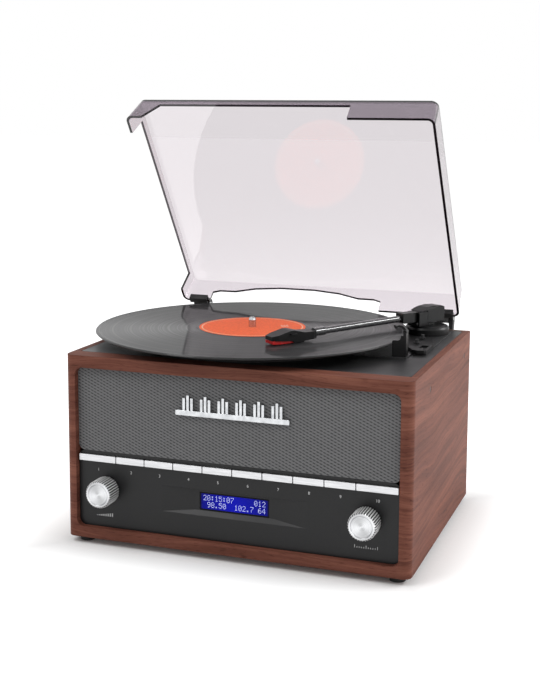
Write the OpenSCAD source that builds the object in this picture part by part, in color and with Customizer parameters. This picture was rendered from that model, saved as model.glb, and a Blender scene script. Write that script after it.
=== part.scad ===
// Table-top stereo music centre: wooden case, radio front with bar keys and
// knobs, belt-drive record player on top, and a hinged clear lid, shown open.
// Millimetres. The origin is the centre of the plane the feet stand on.
// +X is the listener's right, -Y is the front, +Z is up.

/* [Case] */
// Width of the wooden case
case_w = 322; // [318:1:350]
// Depth of the wooden case
case_d = 248; // [244:1:280]
// Height of the wooden case, without feet
case_h = 169; // [165:1:200]
// Thickness of the side, bottom and rear boards
board = 10; // [9:0.5:12]
// Radius of the upright front edges
edge_r = 8; // [4:0.5:9]
// Height of the wooden rail above the front opening
top_rail_h = 11; // [8:0.5:16]
// Depth of that rail, from the front face to the deck
top_rail_d = 19; // [16:0.5:24]
// Corner radius of the front opening
opening_r = 6.5; // [3:0.5:8]
// How far the grille and panel sit behind the front face
recess = 5.5; // [4:0.5:7]
// Visible width of the wooden rim beside and behind the deck
rim = 6.5; // [5:0.5:8]
// Height of the feet
foot_h = 6; // [4:0.5:12]
// Radius of the feet
foot_r = 7; // [5:0.5:10]
// Distance of a foot's centre from the case's sides, front and back
foot_inset = 14; // [10:1:24]
// Radius of the screw caps on the sides
cap_r = 2.9; // [2:0.1:4]
// Distance of the front screw caps from the front face
cap_from_front = 65; // [40:1:90]
// Distance of the rear screw caps from the back
cap_from_back = 29; // [20:1:60]

/* [Grille and loudspeakers] */
// Thickness of the baffle board
baffle_t = 8; // [6:0.5:12]
// Thickness of the grille cloth as stretched on its frame
cloth_t = 0.8; // [0.5:0.1:1.5]
// Width of the grille frame's bars
grille_bar = 8; // [5:0.5:12]
// Distance of each loudspeaker's middle from the case's inner wall
speaker_side = 67; // [50:1:75]
// Wood left above and below the loudspeaker's cone
cone_margin = 7.4; // [6:0.2:12]
// Width of the badge bar
badge_w = 106; // [80:1:140]
// Height of the badge bar
badge_bar_h = 4.6; // [3:0.2:7]
// Height of the badge's upright fins
badge_fin_h = 13.5; // [8:0.5:18]
// Height of the badge bar's lower edge above the middle of the grille
badge_up = 3; // [-5:0.5:8]

/* [Control panel] */
// Thickness of the panel's moulded wall
panel_t = 2.5; // [2:0.1:3]
// Height of the top edge of the panel above the table
panel_top = 86.6; // [84:0.2:90]
// Height of the middle of the row of keys above the table
key_z = 80.5; // [78:0.1:82]
// Height of a bar key
key_h = 5.9; // [4:0.1:6.5]
// Distance of the first key from the side of the front opening
key_side = 1.6; // [1:0.1:4]
// Length of the first and of the last key
key_end_w = 36.4; // [30:0.1:37]
// Gap between two keys
key_gap = 0.8; // [0.5:0.1:1.2]
// Travel of a key
key_travel = 1.0; // [0.6:0.1:1.1]
// Width of the visible display
lcd_w = 65.5; // [60:0.5:70]
// Height of the visible display
lcd_h = 16.6; // [14:0.2:18]
// Height of the middle of the display above the table
lcd_z = 50.3; // [48:0.1:52]
// Depth of the scoop around the display
scoop_depth = 3.4; // [2:0.1:3.8]
// Distance of each knob's axis from the case's inner wall
knob_side = 29; // [25:0.5:36]
// Height of the knobs' axis above the table
knob_z = 52; // [48:0.5:58]
// Radius of a knob
knob_r = 12.7; // [10:0.1:15]
// Length of a knob
knob_len = 18.2; // [12:0.2:22]
// Gap between a knob and the panel
knob_gap = 1.3; // [1:0.1:2]
// Radius of the knob shafts
shaft_r = 3; // [2:0.1:3.5]
// Radial running clearance of shafts in their bores
run_fit = 0.05; // [0.02:0.01:0.09]

/* [Record player] */
// Distance across from the record's rim to the tonearm's axis
arm_clear = 1.8; // [1.4:0.1:4]
// How far the record stands out behind the case
record_over = 27.7; // [20:0.1:32]
// Radius of the spindle
spindle_r = 3.55; // [3.4:0.05:3.6]
// Height of the spindle's tip above the record
spindle_tip = 10; // [8:0.5:14]
// Radius of the record
record_r = 149.2; // [148:0.1:151]
// Thickness of the record at its edge and label
record_t = 2; // [1.6:0.1:2.4]
// Height of the record's upper face above the deck
record_lift = 12.6; // [12:0.1:13.5]
// Radius of the record's label
label_r = 51; // [45:0.5:53]
// Radius of the platter
platter_r = 100; // [95:1:120]
// Radius of the belt ring under the platter
belt_ring_r = 70; // [60:1:72]
// Radius of the motor pulley
pulley_r = 5; // [4:0.5:7]
// Distance between spindle and motor shaft
motor_offset = 85; // [82:1:87]
// Thickness of the top deck
deck_t = 3; // [2:0.5:4]
// Thickness of the turntable chassis plate on the deck
chassis_t = 1.2; // [1:0.1:2]

/* [Tonearm] */
// Distance of the tonearm's axis from the case's right side
arm_side = 37; // [35:0.5:39]
// Distance of the tonearm's axis from the case's back
arm_back = 32; // [30:0.5:34]
// Radius of the tonearm's round base
arm_base_r = 21.5; // [19:0.5:22]
// Height of the arm tube's axis above the deck
arm_lift = 19.5; // [19:0.1:20.5]
// Radius of the arm tube
arm_tube_r = 3.2; // [2.5:0.1:3.4]
// Distance from the tonearm's axis to the headshell
head_at = 152; // [148:1:156]
// Length of the headshell
head_len = 48; // [42:1:52]
// Angle of the headshell to the tube
head_offset = 8; // [4:0.5:12]
// Angle from the parked arm to the arm on the record, as shown
arm_play = 30.1; // [24:0.1:34]
// Distance of the arm rest in front of the spindle
rest_ahead = 31.5; // [30:0.5:34]
// Depth of the arm rest, front to back
rest_d = 8; // [7:0.5:9]

/* [Lid] */
// Distance of the lid's top from each side of the case
lid_side = 13; // [11:0.5:16]
// Distance of the lid's top from the front of the case
lid_ahead = 7.5; // [5:0.5:10]
// Height of the lid's walls
lid_h = 31.5; // [31:0.5:40]
// Thickness of the lid's walls and top
lid_t = 2.5; // [2:0.1:3.5]
// How far each wall leans outwards at its free edge
lid_draft = 2.5; // [1.5:0.1:3.5]
// Radius of the lid's upright corners
lid_corner = 7; // [4:0.5:10]
// Angle by which the lid stands open
lid_open = 55; // [40:1:60]
// Depth of the cut-outs that let the record through the lid
lid_notch = 22; // [20:0.5:23]
// Distance of the hinge axis behind the case
hinge_back = 11; // [10:0.5:14]
// Height of the hinge axis above the deck
hinge_up = 9.5; // [8:0.5:11]
// Radius of the hinge barrels
hinge_r = 5; // [4:0.25:5.5]
// Radius of the hinge pins
hinge_pin_r = 1.75; // [1.25:0.25:2.5]

/* [Back] */
// Width of the terminal plate
plate_w = 112; // [100:1:140]
// Height of the terminal plate
plate_h = 46; // [40:1:60]
// Height of the middle of the terminal plate above the table
plate_z = 70; // [60:1:90]

/* [Hidden] */
$fn = 96;
eps = 0.01;
fit = 0.3;
shell_fit = 0.2;

// faces of the case
half_w = case_w / 2;
front_y = -case_d / 2;
back_y = case_d / 2;
top_z = foot_h + case_h;
in_x = half_w - board;
floor_z = foot_h + board;
frame_t = 12;
mount_y = front_y + frame_t;
rebate = board - rim;
foot_stud_r = 1.6;
foot_stud_h = 5;

// front opening, with the corner filled where the boards meet
side_lip = 0.4;
open_w = 2 * (in_x - side_lip);
open_z0 = foot_h + board;
open_z1 = top_z - top_rail_h;
open_h = open_z1 - open_z0;
face_y = front_y + recess;
cap_y = [front_y + cap_from_front, back_y - cap_from_back];
cap_down = 20;
cap_z = top_z - cap_down;
cap_depth = 2;
cap_sunk = 0.2;

// grille
grille_w = open_w - 2 * fit;
grille_z0 = panel_top + fit;
grille_z1 = open_z1 - fit;
grille_cz = (grille_z0 + grille_z1) / 2;
grille_h = grille_z1 - grille_z0;
grille_r = opening_r - fit;
cloth_back = face_y + cloth_t;
baffle_lift = 1.5;
baffle_z0 = grille_z0 + baffle_lift;
baffle_back = mount_y + baffle_t;
speaker_x = in_x - speaker_side;
speaker_z = grille_cz;
cone_r = grille_h / 2 - cone_margin;
flange_t = 2;
flange_r = cone_r + 6;
magnet_share = 0.68;
magnet_r = magnet_share * cone_r;
magnet_h = 12;
cone_depth = 16;
basket_z = cone_depth + 3.5;
basket_t = 2.5;
spoke_w = 5;
spoke_count = 6;
dust_cap_r = 9;

// badge: a bar on two studs, with groups of upright fins
badge_front = front_y + 2.2;
badge_t = 2.4;
badge_z = grille_cz + badge_up;
badge_top = badge_z + badge_bar_h;
bar_z = badge_z + badge_bar_h / 2;
stud_r = 1.5;
stud_share = 0.36;
stud_x = badge_w * stud_share;
stud_depth = 4;
fin_groups = 6;
fin_pitch = 16.6;
fin_w = 2.4;
fin_step = 3.7;
fin_t = 1.8;
fin_drop = 2.6;

// keys in their channel
panel_w = open_w - 2 * fit;
panel_r = opening_r - fit;
panel_back = face_y + panel_t;
panel_rib = 2;
channel_y = front_y + 9.5;
channel_wall = 1.5;
channel_back = channel_y + 2;
channel_h = key_h + 2 * fit;
key_front = front_y + 3;
key_back = channel_y - key_travel - shell_fit;
key_count = 10;
inner_keys = key_count - 2;
inner_x0 = -(open_w / 2 - key_side - key_end_w - key_gap / 2);
key_pitch = -2 * inner_x0 / inner_keys;
key_edge = 0.6;
stem_w = 4;
stem_h = 2.6;
barb_w = 5.2;
barb_y0 = channel_back + shell_fit;
barb_y1 = barb_y0 + 1;
stem_end = barb_y1 + 1.3;
switch_gap = key_travel + 0.1;
pcb_y = front_y + 17;
pcb_t = 1.6;
pcb_x = open_w / 2 - 5.6;
pcb_z0 = floor_z + 5;
pcb_z1 = panel_top + 0.4;
boss_r = 2.4;
boss_out = open_w / 2 - 12.6;
boss_in = open_w / 2 - 90.6;
boss_z = key_z - channel_h / 2 - channel_wall - boss_r + 1;
low_boss_z = pcb_z0 + 5;
tact_half = 3;
tact_t = 1.2;
tact_r = 1.2;

// display
scoop_in = lcd_w + 9;
scoop_out = lcd_w + 71;
scoop_z0 = lcd_z - 12.5;
scoop_z1 = lcd_z + 11.3;
ledge = 4;
scoop_y = face_y + scoop_depth;
scoop_wall = 1.5;
scoop_lip = 2;
scoop_end = 6;
module_w = 80;
module_h = 36;
module_pcb_y = front_y + 14;
lcd_frame_w = 71;
lcd_frame_h = 24;
lcd_face = scoop_y + 0.4;
glass_fit = 0.1;
post_x = 36;
post_z = 14;
post_r = 2;

// knobs
knob_x = in_x - knob_side;
knob_back = face_y - knob_gap;
knob_face = knob_back - knob_len;
bushing_r = shaft_r + 1.2;
bushing_end = face_y - 2.6;
encoder_w = 13;
encoder_y = panel_back + 1.2;
shaft_tip = knob_face + 4;
nut_r = 6.2;
nut_t = 1.1;
nut_seat = 0.05;
knob_well = 2.6;
knob_edge = 1.4;
dish = 0.3;
ring_in = knob_r - 4.8;
nut_clear = 1.6;
knob_cap_t = 3.4;

// turntable
deck_z = top_z - deck_t;
arm_x = half_w - arm_side;
arm_y = back_y - arm_back;
spindle_x = arm_x - record_r - arm_clear;
spindle_y = back_y + record_over - record_r;
record_top = top_z + record_lift;
record_z = record_top - record_t;
mat_t = 1.7;
mat_bore_r = 5;
mat_z = record_z - mat_t;
platter_top = mat_z;
platter_t = 3;
ring_wall = 4;
chassis_z = top_z + chassis_t;
hub_r = 11;
washer_t = 0.6;
hub_z = chassis_z + washer_t;
ring_z = chassis_z + 1.3;
bore_r = spindle_r + run_fit;
label_t = 0.15;
groove_down = 0.3;
plate_rim = 7;
spindle_low = deck_z - 16;
tip_z = record_top + spindle_tip;
thrust_gap = 0.1;
bearing_r = 7;
seat_r = 13;
seat_t = 3;
sleeve_r = spindle_r + 1.3;
washer_r = 8;
motor_angle = -45;
motor_x = spindle_x + motor_offset * cos(motor_angle);
motor_y = spindle_y + motor_offset * sin(motor_angle);
motor_r = 13;
motor_h = 22;
motor_shaft_r = 1;
belt_t = 0.5;
belt_gap = 0.08;
belt_h = 1.8;
belt_z = ring_z + 0.4;
belt_slack = 0.15;
belt_margin = 0.6;
motor_hole_r = pulley_r + 2;

// deck outline and the openings in it
deck_gap = fit;
deck_x = half_w - rim - deck_gap;
deck_y0 = front_y + top_rail_d + deck_gap;
deck_y1 = back_y - rim - deck_gap;
arm_shaft_r = 4;
arm_boss_r = 9;
arm_base_top = top_z + 10;
arm_boss_z = deck_z - 8;
arm_nut_r = 7;
arm_nut_t = 4;

// tonearm, drawn along -Y from its axis
arm_len_front = 16;
arm_len_back = 16;
arm_half_w = 8;
pitch_at = 14;
pitch_z = top_z + 16;
cheek_in = 6.2;
cheek_t = 1.8;
cheek_half = 5.8;
cheek_top = top_z + 24;
cheek_play = 0.7;
yoke_z = arm_base_top + 0.3;
yoke_t = 1.4;
yoke_r = 6;
pin_r = 1.2;
arm_z = top_z + arm_lift;
block_top = top_z + 29;
block_low = top_z + 13.3;
bevel_down = 2.6;
bevel_angle = 40;
nose_end = 39.5;
tube_end = 17;
nose_half = 5;
nose_up = 5.3;
nose_down = 4.6;
collar_len = 13;
collar_r = 3.9;
stylus_gap = 0.3;
head_w = 16;
head_wall = 1.5;
head_low = record_top + 0.7;
head_roof = arm_z - 1.5;

// arm rest
rest_x = arm_x;
rest_y0 = spindle_y - rest_ahead - rest_d / 2;
rest_y1 = rest_y0 + rest_d;
rest_left = rest_x - 4.4;
rest_right = rest_x + 8.4;
rest_chamfer = 1.4;
cradle_r = arm_tube_r + 0.4;
cradle_low = arm_z - arm_tube_r - 0.4;
rest_wall_top = top_z + 20.6;
rest_top = top_z + 22.6;
clip_pin_x = rest_x + 7;
clip_pin_z = top_z + 23.9;
clip_barrel_r = 1.7;
clip_pin_r = 0.9;
ear_t = 2;

// switch block, and the chassis round it and the rest
switch_y0 = -11;
rest_land = 3;
side_land = 21.8;
deck_land = 4;
switch_top = top_z + 4.5;
peg_x = arm_x + 6.8;
speed_y = 17;
stop_y = 41.5;
peg_travel = 6;
peg_slot_half = 1.2;
peg_half = 1;
peg_len = 3;
peg_low = deck_z - 3;
peg_foot = 2.4;
peg_cap = 2.7;
peg_cap_t = 0.9;
peg_r = 1.6;
peg_h = 4.2;
finger_depth = 1.8;
finger_x0 = 13.3;
finger_x1 = 19.9;
finger_y0 = -2.4;
finger_y1 = 10;
finger_toe_w = 1.7;
finger_toe = 6.6;

// lid, drawn closed and then swung open about the hinge
lid_gap = 1.5;
lid_edge = 1.2;
lid_z0 = top_z + lid_gap;
lid_z1 = lid_z0 + lid_h;
lid_back = back_y - lid_draft + 0.5;
lid_front = front_y + lid_ahead;
lid_w = case_w - 2 * lid_side;
lid_d = lid_back - lid_front;
draft_angle = atan(lid_draft / lid_h);
hinge_y = back_y + hinge_back;
hinge_z = top_z + hinge_up;
notch_share = [0.68, 0.653];
notch_left = spindle_x - notch_share[0] * record_r;
notch_right = spindle_x + notch_share[1] * record_r;
notch_reach = 6;
rear_notch_share = 0.627;
rear_notch_half = rear_notch_share * record_r;
rear_notch_h = 15.2;
rear_arch_h = lid_notch + 1.5;
side_notch_share = [0.68, 0.707];
side_notch_y0 = spindle_y - side_notch_share[0] * record_r;
side_notch_y1 = spindle_y + side_notch_share[1] * record_r;
clip_x0 = lid_w / 2 - 24.5;
clip_x1 = lid_w / 2 - 4.8;
clip_h = 5.5;
clip_t = 1.8;
clip_foot = 0.8;
clip_fit = 0.1;
barrel_in = 5.5;
barrel_x0 = clip_x0 + barrel_in;
barrel_x1 = clip_x1 - barrel_in;
ear_gap = 0.3;
bracket_in = 1;
bracket_x0 = clip_x0 + bracket_in;
bracket_x1 = clip_x1 - bracket_in;
bracket_x = (bracket_x0 + bracket_x1) / 2;
bracket_t = 3;
bracket_low = top_z - 40;
bracket_down = 3;
ear_foot = 14;
screw_r = 1.8;
screw_up = 7;
screw_pitch = 17;
pin_fit = 0.05;

// back
plate_t = 2.5;
plate_corner = 3;
hole_w = plate_w - 14;
hole_h = plate_h - 12;
plate_depth = 8;
plate_wall = 2.5;
vent_w = 3;
vent_h = 8;
vent_pitch = 8;
vent_rise = 12;
vent_columns = 11;
vent_rows = 3;
vent_x0 = -vent_pitch * (vent_columns - 1) / 2;
vent_z0 = plate_z + plate_h / 2 + 12;
line_out_x = [-38, -20];
aux_x = 4;
power_x = 34;
rca_r = 4.15;
rca_hole_r = 1.65;
rca_len = 9;
rca_depth = 6;
aux_r = 1.8;
aux_depth = 14;
power_r = 2.8;
power_depth = 9;
shell_wall = 1.3;
aux_nut_r = 4;
aux_nut_t = 0.6;
power_nut_r = 5.5;
power_nut_t = 0.4;
jack_end = 2;

// boards and parts inside the case
board_x = in_x - 56;
board_y0 = -40;
board_y1 = 60;
board_z = floor_z + 8;
board_up = board_z + pcb_t;
leg_in = 7;
leg_r = 3;
sink_x0 = 15 - board_x;
sink_fins = 8;
sink_pitch = 6.8;
sink_fin_t = 1.6;
sink_y0 = -30;
sink_t = 4;
sink_d = 18;
sink_h = 30;
can_w = 42;
can_d = 32;
can_h = 10;
can_x0 = board_x - 75;
can_y0 = 20;
cap_pitch = 18;
cap_body_r = 7;
cap_body_y = -20;
cap_body_h = 27;

walnut = "#7a4d3f";
jet = "#1c1c1d";
charcoal = "#2b2b2c";
cloth_grey = "#77777a";
silver = "#d8d8da";
chrome = "#c9cbce";
steel = "#b4b6b8";
board_green = "#1f5a3a";
smoke = "#8e8794";

// ---------------------------------------------------------------- helpers

// a block given by its two corners
module slab(x0, x1, y0, y1, z0, z1)
    translate([x0, y0, z0]) cube([x1 - x0, y1 - y0, z1 - z0]);

// a drawing in the X-Z plane, carried from y0 to y1
module along_y(y0, y1)
    translate([0, y1, 0]) rotate([90, 0, 0]) linear_extrude(y1 - y0) children();

// a drawing in the Y-Z plane, carried from x0 to x1
module along_x(x0, x1)
    translate([x0, 0, 0]) rotate([90, 0, 90]) linear_extrude(x1 - x0) children();

// a rod along Y
module rod_y(x, z, y0, y1, r) translate([x, y1, z]) rotate([90, 0, 0]) cylinder(r = r, h = y1 - y0);

// a rod along X
module rod_x(y, z, x0, x1, r) translate([x0, y, z]) rotate([0, 90, 0]) cylinder(r = r, h = x1 - x0);

// a rod along Z
module rod_z(x, y, z0, z1, r) translate([x, y, z0]) cylinder(r = r, h = z1 - z0);

// a centred rectangle with round corners
module round_rect(w, h, r) {
    square([w - 2 * r, h], center = true);
    square([w, h - 2 * r], center = true);
    for (sx = [-1, 1], sy = [-1, 1])
        translate([sx * (w / 2 - r), sy * (h / 2 - r)]) circle(r = r);
}

// the same thing left and right of the middle
module both_sides() {
    children();
    mirror([1, 0, 0]) children();
}

// ------------------------------------------------------------------- case

module case_outline() {
    translate([-half_w, front_y + edge_r]) square([case_w, case_d - edge_r]);
    translate([-half_w + edge_r, front_y]) square([case_w - 2 * edge_r, edge_r + 1]);
    for (s = [-1, 1]) translate([s * (half_w - edge_r), front_y + edge_r]) circle(r = edge_r);
}

module front_opening(y0, y1)
    along_y(y0, y1) translate([0, open_z0 + open_h / 2]) round_rect(open_w, open_h, opening_r);

module case_shell() color(walnut) difference() {
    translate([0, 0, foot_h]) linear_extrude(case_h) case_outline();
    front_opening(front_y - 1, mount_y + 1);
    slab(-in_x, in_x, mount_y, back_y + 1, floor_z, open_z1);
    slab(-in_x, in_x, front_y + top_rail_d + rebate, back_y + 1, open_z1 - 1, top_z + 1);
    slab(-half_w + rim, half_w - rim, front_y + top_rail_d, back_y - rim, deck_z, top_z + 1);
    for (y = cap_y) both_sides() rod_x(y, cap_z, half_w - cap_depth, half_w + 1, cap_r);
    for (x = [-1, 1], y = [-1, 1])
        rod_z(x * (half_w - foot_inset), y * (back_y - foot_inset), foot_h - 1,
            foot_h + foot_stud_h + 1, foot_stud_r);
}

module rear_board() color("#8a6a50") difference() {
    slab(-in_x + shell_fit / 2, in_x - shell_fit / 2, back_y - board, back_y, floor_z, top_z);
    slab(-half_w, half_w, back_y - board - 1, back_y - rim, deck_z, top_z + 1);
    along_y(back_y - board - 1, back_y + 1) translate([0, plate_z])
        round_rect(hole_w, hole_h, plate_corner);
    for (i = [0:vent_columns - 1], k = [0:vent_rows - 1])
        slab(vent_x0 + i * vent_pitch - vent_w / 2, vent_x0 + i * vent_pitch + vent_w / 2,
            back_y - board - 1, back_y + 1, vent_z0 + k * vent_rise, vent_z0 + k * vent_rise + vent_h);
}

module feet() color(jet)
    for (x = [-1, 1], y = [-1, 1])
        translate([x * (half_w - foot_inset), y * (back_y - foot_inset), 0]) {
            cylinder(r = foot_r, h = foot_h);
            rod_z(0, 0, foot_h - eps, foot_h + foot_stud_h, foot_stud_r);
        }

module side_caps() color("#3c241c")
    for (y = cap_y) both_sides() rod_x(y, cap_z, half_w - cap_depth, half_w - cap_sunk, cap_r);

// ----------------------------------------------------- grille and speakers

module baffle_board() color("#6b5138") difference() {
    slab(-in_x + shell_fit, in_x - shell_fit, mount_y, baffle_back, baffle_z0, open_z1);
    both_sides() rod_y(speaker_x, speaker_z, mount_y - 1, baffle_back + 1, cone_r + 1);
    both_sides() rod_y(stud_x, bar_z, mount_y - 1, mount_y + stud_depth, stud_r);
}

module grille_outline(inset)
    translate([0, grille_cz]) round_rect(grille_w - 2 * inset, grille_h - 2 * inset, grille_r);

module grille_frame() color(jet) difference() {
    along_y(cloth_back, mount_y) grille_outline(0);
    along_y(cloth_back - 1, mount_y + 1) grille_outline(grille_bar);
}

module grille_cloth() color(cloth_grey) difference() {
    along_y(face_y, cloth_back) grille_outline(0);
    both_sides() rod_y(stud_x, bar_z, face_y - 1, cloth_back + 1, stud_r);
}

// open basket with a flange, spokes, a back plate and a magnet
module speaker_frames() color("#3a3a3c") both_sides()
    translate([speaker_x, baffle_back, speaker_z]) rotate([-90, 0, 0]) {
        difference() {
            cylinder(r = flange_r, h = flange_t);
            translate([0, 0, -1]) cylinder(r = cone_r, h = flange_t + 2);
        }
        for (i = [0:spoke_count - 1]) rotate([0, 0, i * 360 / spoke_count]) rotate([90, 0, 0])
            translate([0, 0, -spoke_w / 2]) linear_extrude(spoke_w) polygon([
                [cone_r - 1, flange_t - 1], [flange_r - 2, flange_t - 1],
                [magnet_r, basket_z + basket_t], [magnet_r - 6, basket_z + basket_t],
                [magnet_r - 6, basket_z], [magnet_r - 3, basket_z]]);
        translate([0, 0, basket_z]) cylinder(r = magnet_r - 2, h = basket_t);
        translate([0, 0, basket_z + basket_t]) cylinder(r = magnet_r, h = magnet_h);
    }

// paper cone with a rolled surround and a dust cap, one thin skin
module speaker_cones() color("#202022") both_sides()
    translate([speaker_x, baffle_back, speaker_z]) rotate([-90, 0, 0]) rotate_extrude() polygon([
        [cone_r - 0.2, 0], [cone_r - 0.2, 1], [cone_r - 2, -0.6], [cone_r - 5, 1.2],
        [dust_cap_r, cone_depth], [dust_cap_r, cone_depth + 2], [dust_cap_r - 1.2, cone_depth + 2],
        [dust_cap_r - 1.2, cone_depth - 0.6], [dust_cap_r - 4, cone_depth - 2.6],
        [0, cone_depth - 3.6], [0, cone_depth - 4.6], [dust_cap_r - 3.6, cone_depth - 3.5],
        [dust_cap_r - 0.4, cone_depth - 1.4], [cone_r - 5.4, 0.2], [cone_r - 2, -1.6]]);

module badge_fins()
    for (g = [0:fin_groups - 1], k = [-1:1])
        let(x = (g - (fin_groups - 1) / 2) * fin_pitch + k * fin_step,
            h = k == 0 ? badge_fin_h : badge_fin_h - fin_drop)
        slab(x - fin_w / 2, x + fin_w / 2, badge_front + badge_t - fin_t, badge_front + badge_t,
            badge_top - 0.5, badge_top + h);

module badge() color(chrome) {
    along_y(badge_front, badge_front + badge_t)
        translate([0, bar_z]) round_rect(badge_w, badge_bar_h, 1);
    badge_fins();
    both_sides() rod_y(stud_x, bar_z, badge_front + 1, mount_y + stud_depth, stud_r);
}

// ----------------------------------------------------------- control panel

module panel_outline(h_top)
    translate([0, (open_z0 + fit + h_top) / 2])
        round_rect(panel_w, h_top - open_z0 - fit, panel_r);

module scoop() intersection() {
    translate([0, 0, scoop_z0]) linear_extrude(scoop_z1 - scoop_z0) polygon([
        [-scoop_out / 2, face_y - eps], [scoop_out / 2, face_y - eps],
        [scoop_in / 2, scoop_y], [-scoop_in / 2, scoop_y]]);
    along_x(-scoop_out, scoop_out) polygon([[face_y - 1, scoop_z0],
        [face_y, scoop_z0], [scoop_y, scoop_z0 + ledge], [scoop_y + 1, scoop_z0 + ledge],
        [scoop_y + 1, scoop_z1], [face_y - 1, scoop_z1]]);
}

module front_panel() color(charcoal) difference() {
    union() {
        along_y(face_y, panel_back) panel_outline(panel_top);
        // wall that the panel stands on the case with
        difference() {
            along_y(panel_back - eps, mount_y) panel_outline(panel_top);
            along_y(panel_back - 1, mount_y + 1)
                translate([0, (open_z0 + fit + panel_top) / 2])
                round_rect(panel_w - 2 * panel_rib, panel_top - open_z0 - fit - 2 * panel_rib,
                    panel_r - panel_rib);
        }
        // channel that the keys run in
        slab(-panel_w / 2 + 1, panel_w / 2 - 1, panel_back - eps, channel_back,
            key_z - channel_h / 2 - channel_wall, key_z + channel_h / 2 + channel_wall);
        // back of the display scoop
        slab(scoop_end - scoop_out / 2, scoop_out / 2 - scoop_end, panel_back - eps, scoop_y + scoop_wall,
            scoop_z0, scoop_z1 + scoop_lip);
        // bosses that carry the control board
        for (x = [boss_in, boss_out]) both_sides() rod_y(x, boss_z, panel_back - eps, pcb_y, boss_r);
        both_sides() rod_y(boss_out, low_boss_z, panel_back - eps, pcb_y, boss_r);
    }
    slab(-panel_w / 2 - 1, panel_w / 2 + 1, face_y - 1, channel_y,
        key_z - channel_h / 2, key_z + channel_h / 2);
    for (i = [1:key_count]) slab(key_x(i) - stem_w / 2 - shell_fit, key_x(i) + stem_w / 2 + shell_fit,
        channel_y - 1, channel_back + 1, key_z - stem_h / 2 - shell_fit, key_z + stem_h / 2 + shell_fit);
    scoop();
    along_y(scoop_y - 1, scoop_y + scoop_wall + 1) translate([0, lcd_z])
        square([lcd_w, lcd_h], center = true);
    both_sides() rod_y(knob_x, knob_z, face_y - 1, panel_back + 1, bushing_r + shell_fit);
}

// middle and length of key i, counted from the left
function key_x(i) = i == 1 ? inner_x0 - key_end_w / 2 - key_gap / 2
    : i == key_count ? -inner_x0 + key_end_w / 2 + key_gap / 2
    : inner_x0 + (i - 1.5) * key_pitch;
function key_w(i) = i == 1 || i == key_count ? key_end_w : key_pitch - key_gap;

module key(i) color(silver) {
    along_y(key_front, key_back) translate([key_x(i), key_z]) round_rect(key_w(i), key_h, key_edge);
    slab(key_x(i) - stem_w / 2, key_x(i) + stem_w / 2, key_back - eps, stem_end,
        key_z - stem_h / 2, key_z + stem_h / 2);
    slab(key_x(i) - barb_w / 2, key_x(i) + barb_w / 2, barb_y0, barb_y1,
        key_z - stem_h / 2, key_z + stem_h / 2);
}
module key_1() key(1);
module key_2() key(2);
module key_3() key(3);
module key_4() key(4);
module key_5() key(5);
module key_6() key(6);
module key_7() key(7);
module key_8() key(8);
module key_9() key(9);
module key_10() key(10);

module control_board() color(board_green)
    slab(-pcb_x, pcb_x, pcb_y, pcb_y + pcb_t, pcb_z0, pcb_z1);

// tactile switches behind the keys, and the two rotary encoders
module panel_controls() color("#34363a") {
    for (i = [1:key_count]) {
        slab(key_x(i) - tact_half, key_x(i) + tact_half, pcb_y - tact_t, pcb_y,
            key_z - tact_half, key_z + tact_half);
        rod_y(key_x(i), key_z, stem_end + switch_gap, pcb_y - 1, tact_r);
    }
    both_sides() difference() {
        union() {
            slab(knob_x - encoder_w / 2, knob_x + encoder_w / 2, encoder_y, pcb_y,
                knob_z - encoder_w / 2, knob_z + encoder_w / 2);
            rod_y(knob_x, knob_z, bushing_end, encoder_y + 1, bushing_r);
            rod_y(knob_x, knob_z, face_y - nut_t, face_y - nut_seat, nut_r);
        }
        rod_y(knob_x, knob_z, bushing_end - 1, pcb_y - 1, shaft_r + run_fit);
    }
}

module lcd_module() color("#202a24") {
    difference() {
        slab(-lcd_frame_w / 2, lcd_frame_w / 2, scoop_y + scoop_wall, module_pcb_y,
            lcd_z - lcd_frame_h / 2, lcd_z + lcd_frame_h / 2);
        slab(-lcd_w / 2, lcd_w / 2, scoop_y, module_pcb_y - 1,
            lcd_z - lcd_h / 2, lcd_z + lcd_h / 2);
    }
    slab(-module_w / 2, module_w / 2, module_pcb_y - eps, module_pcb_y + pcb_t,
        lcd_z - module_h / 2, lcd_z + module_h / 2);
    for (z = [-post_z, post_z])
        both_sides() rod_y(post_x, lcd_z + z, module_pcb_y + pcb_t - eps, pcb_y, post_r);
}

module lcd_glass() color("#1220c0")
    slab(-lcd_w / 2 + glass_fit, lcd_w / 2 - glass_fit, lcd_face, module_pcb_y - 1,
        lcd_z - lcd_h / 2 + glass_fit, lcd_z + lcd_h / 2 - glass_fit);

module knob_shaft(x) color(steel) rod_y(x, knob_z, shaft_tip, pcb_y - 2, shaft_r);
module volume_shaft() knob_shaft(-knob_x);
module tune_shaft() knob_shaft(knob_x);

// turned and knurled knob: chamfered rim, ring groove in the face, hollow back
module knob(x, bore) color(silver) translate([x, knob_back, knob_z]) rotate([90, 0, 0])
    rotate_extrude() polygon([[bore, knob_well], [bore, knob_len - knob_cap_t], [0, knob_len - knob_cap_t],
        [0, knob_len - dish], [ring_in - 0.8, knob_len - dish], [ring_in, knob_len - 3 * dish],
        [ring_in + 0.8, knob_len - dish], [knob_r - 3, knob_len], [knob_r - knob_edge, knob_len],
        [knob_r, knob_len - knob_edge], [knob_r, 0.8], [knob_r - 0.8, 0], [nut_r + nut_clear, 0],
        [nut_r + nut_clear, knob_well]]);
module volume_knob() knob(-knob_x, shaft_r);
module tune_knob() knob(knob_x, shaft_r + run_fit);

// ------------------------------------------------------------- electronics

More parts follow.
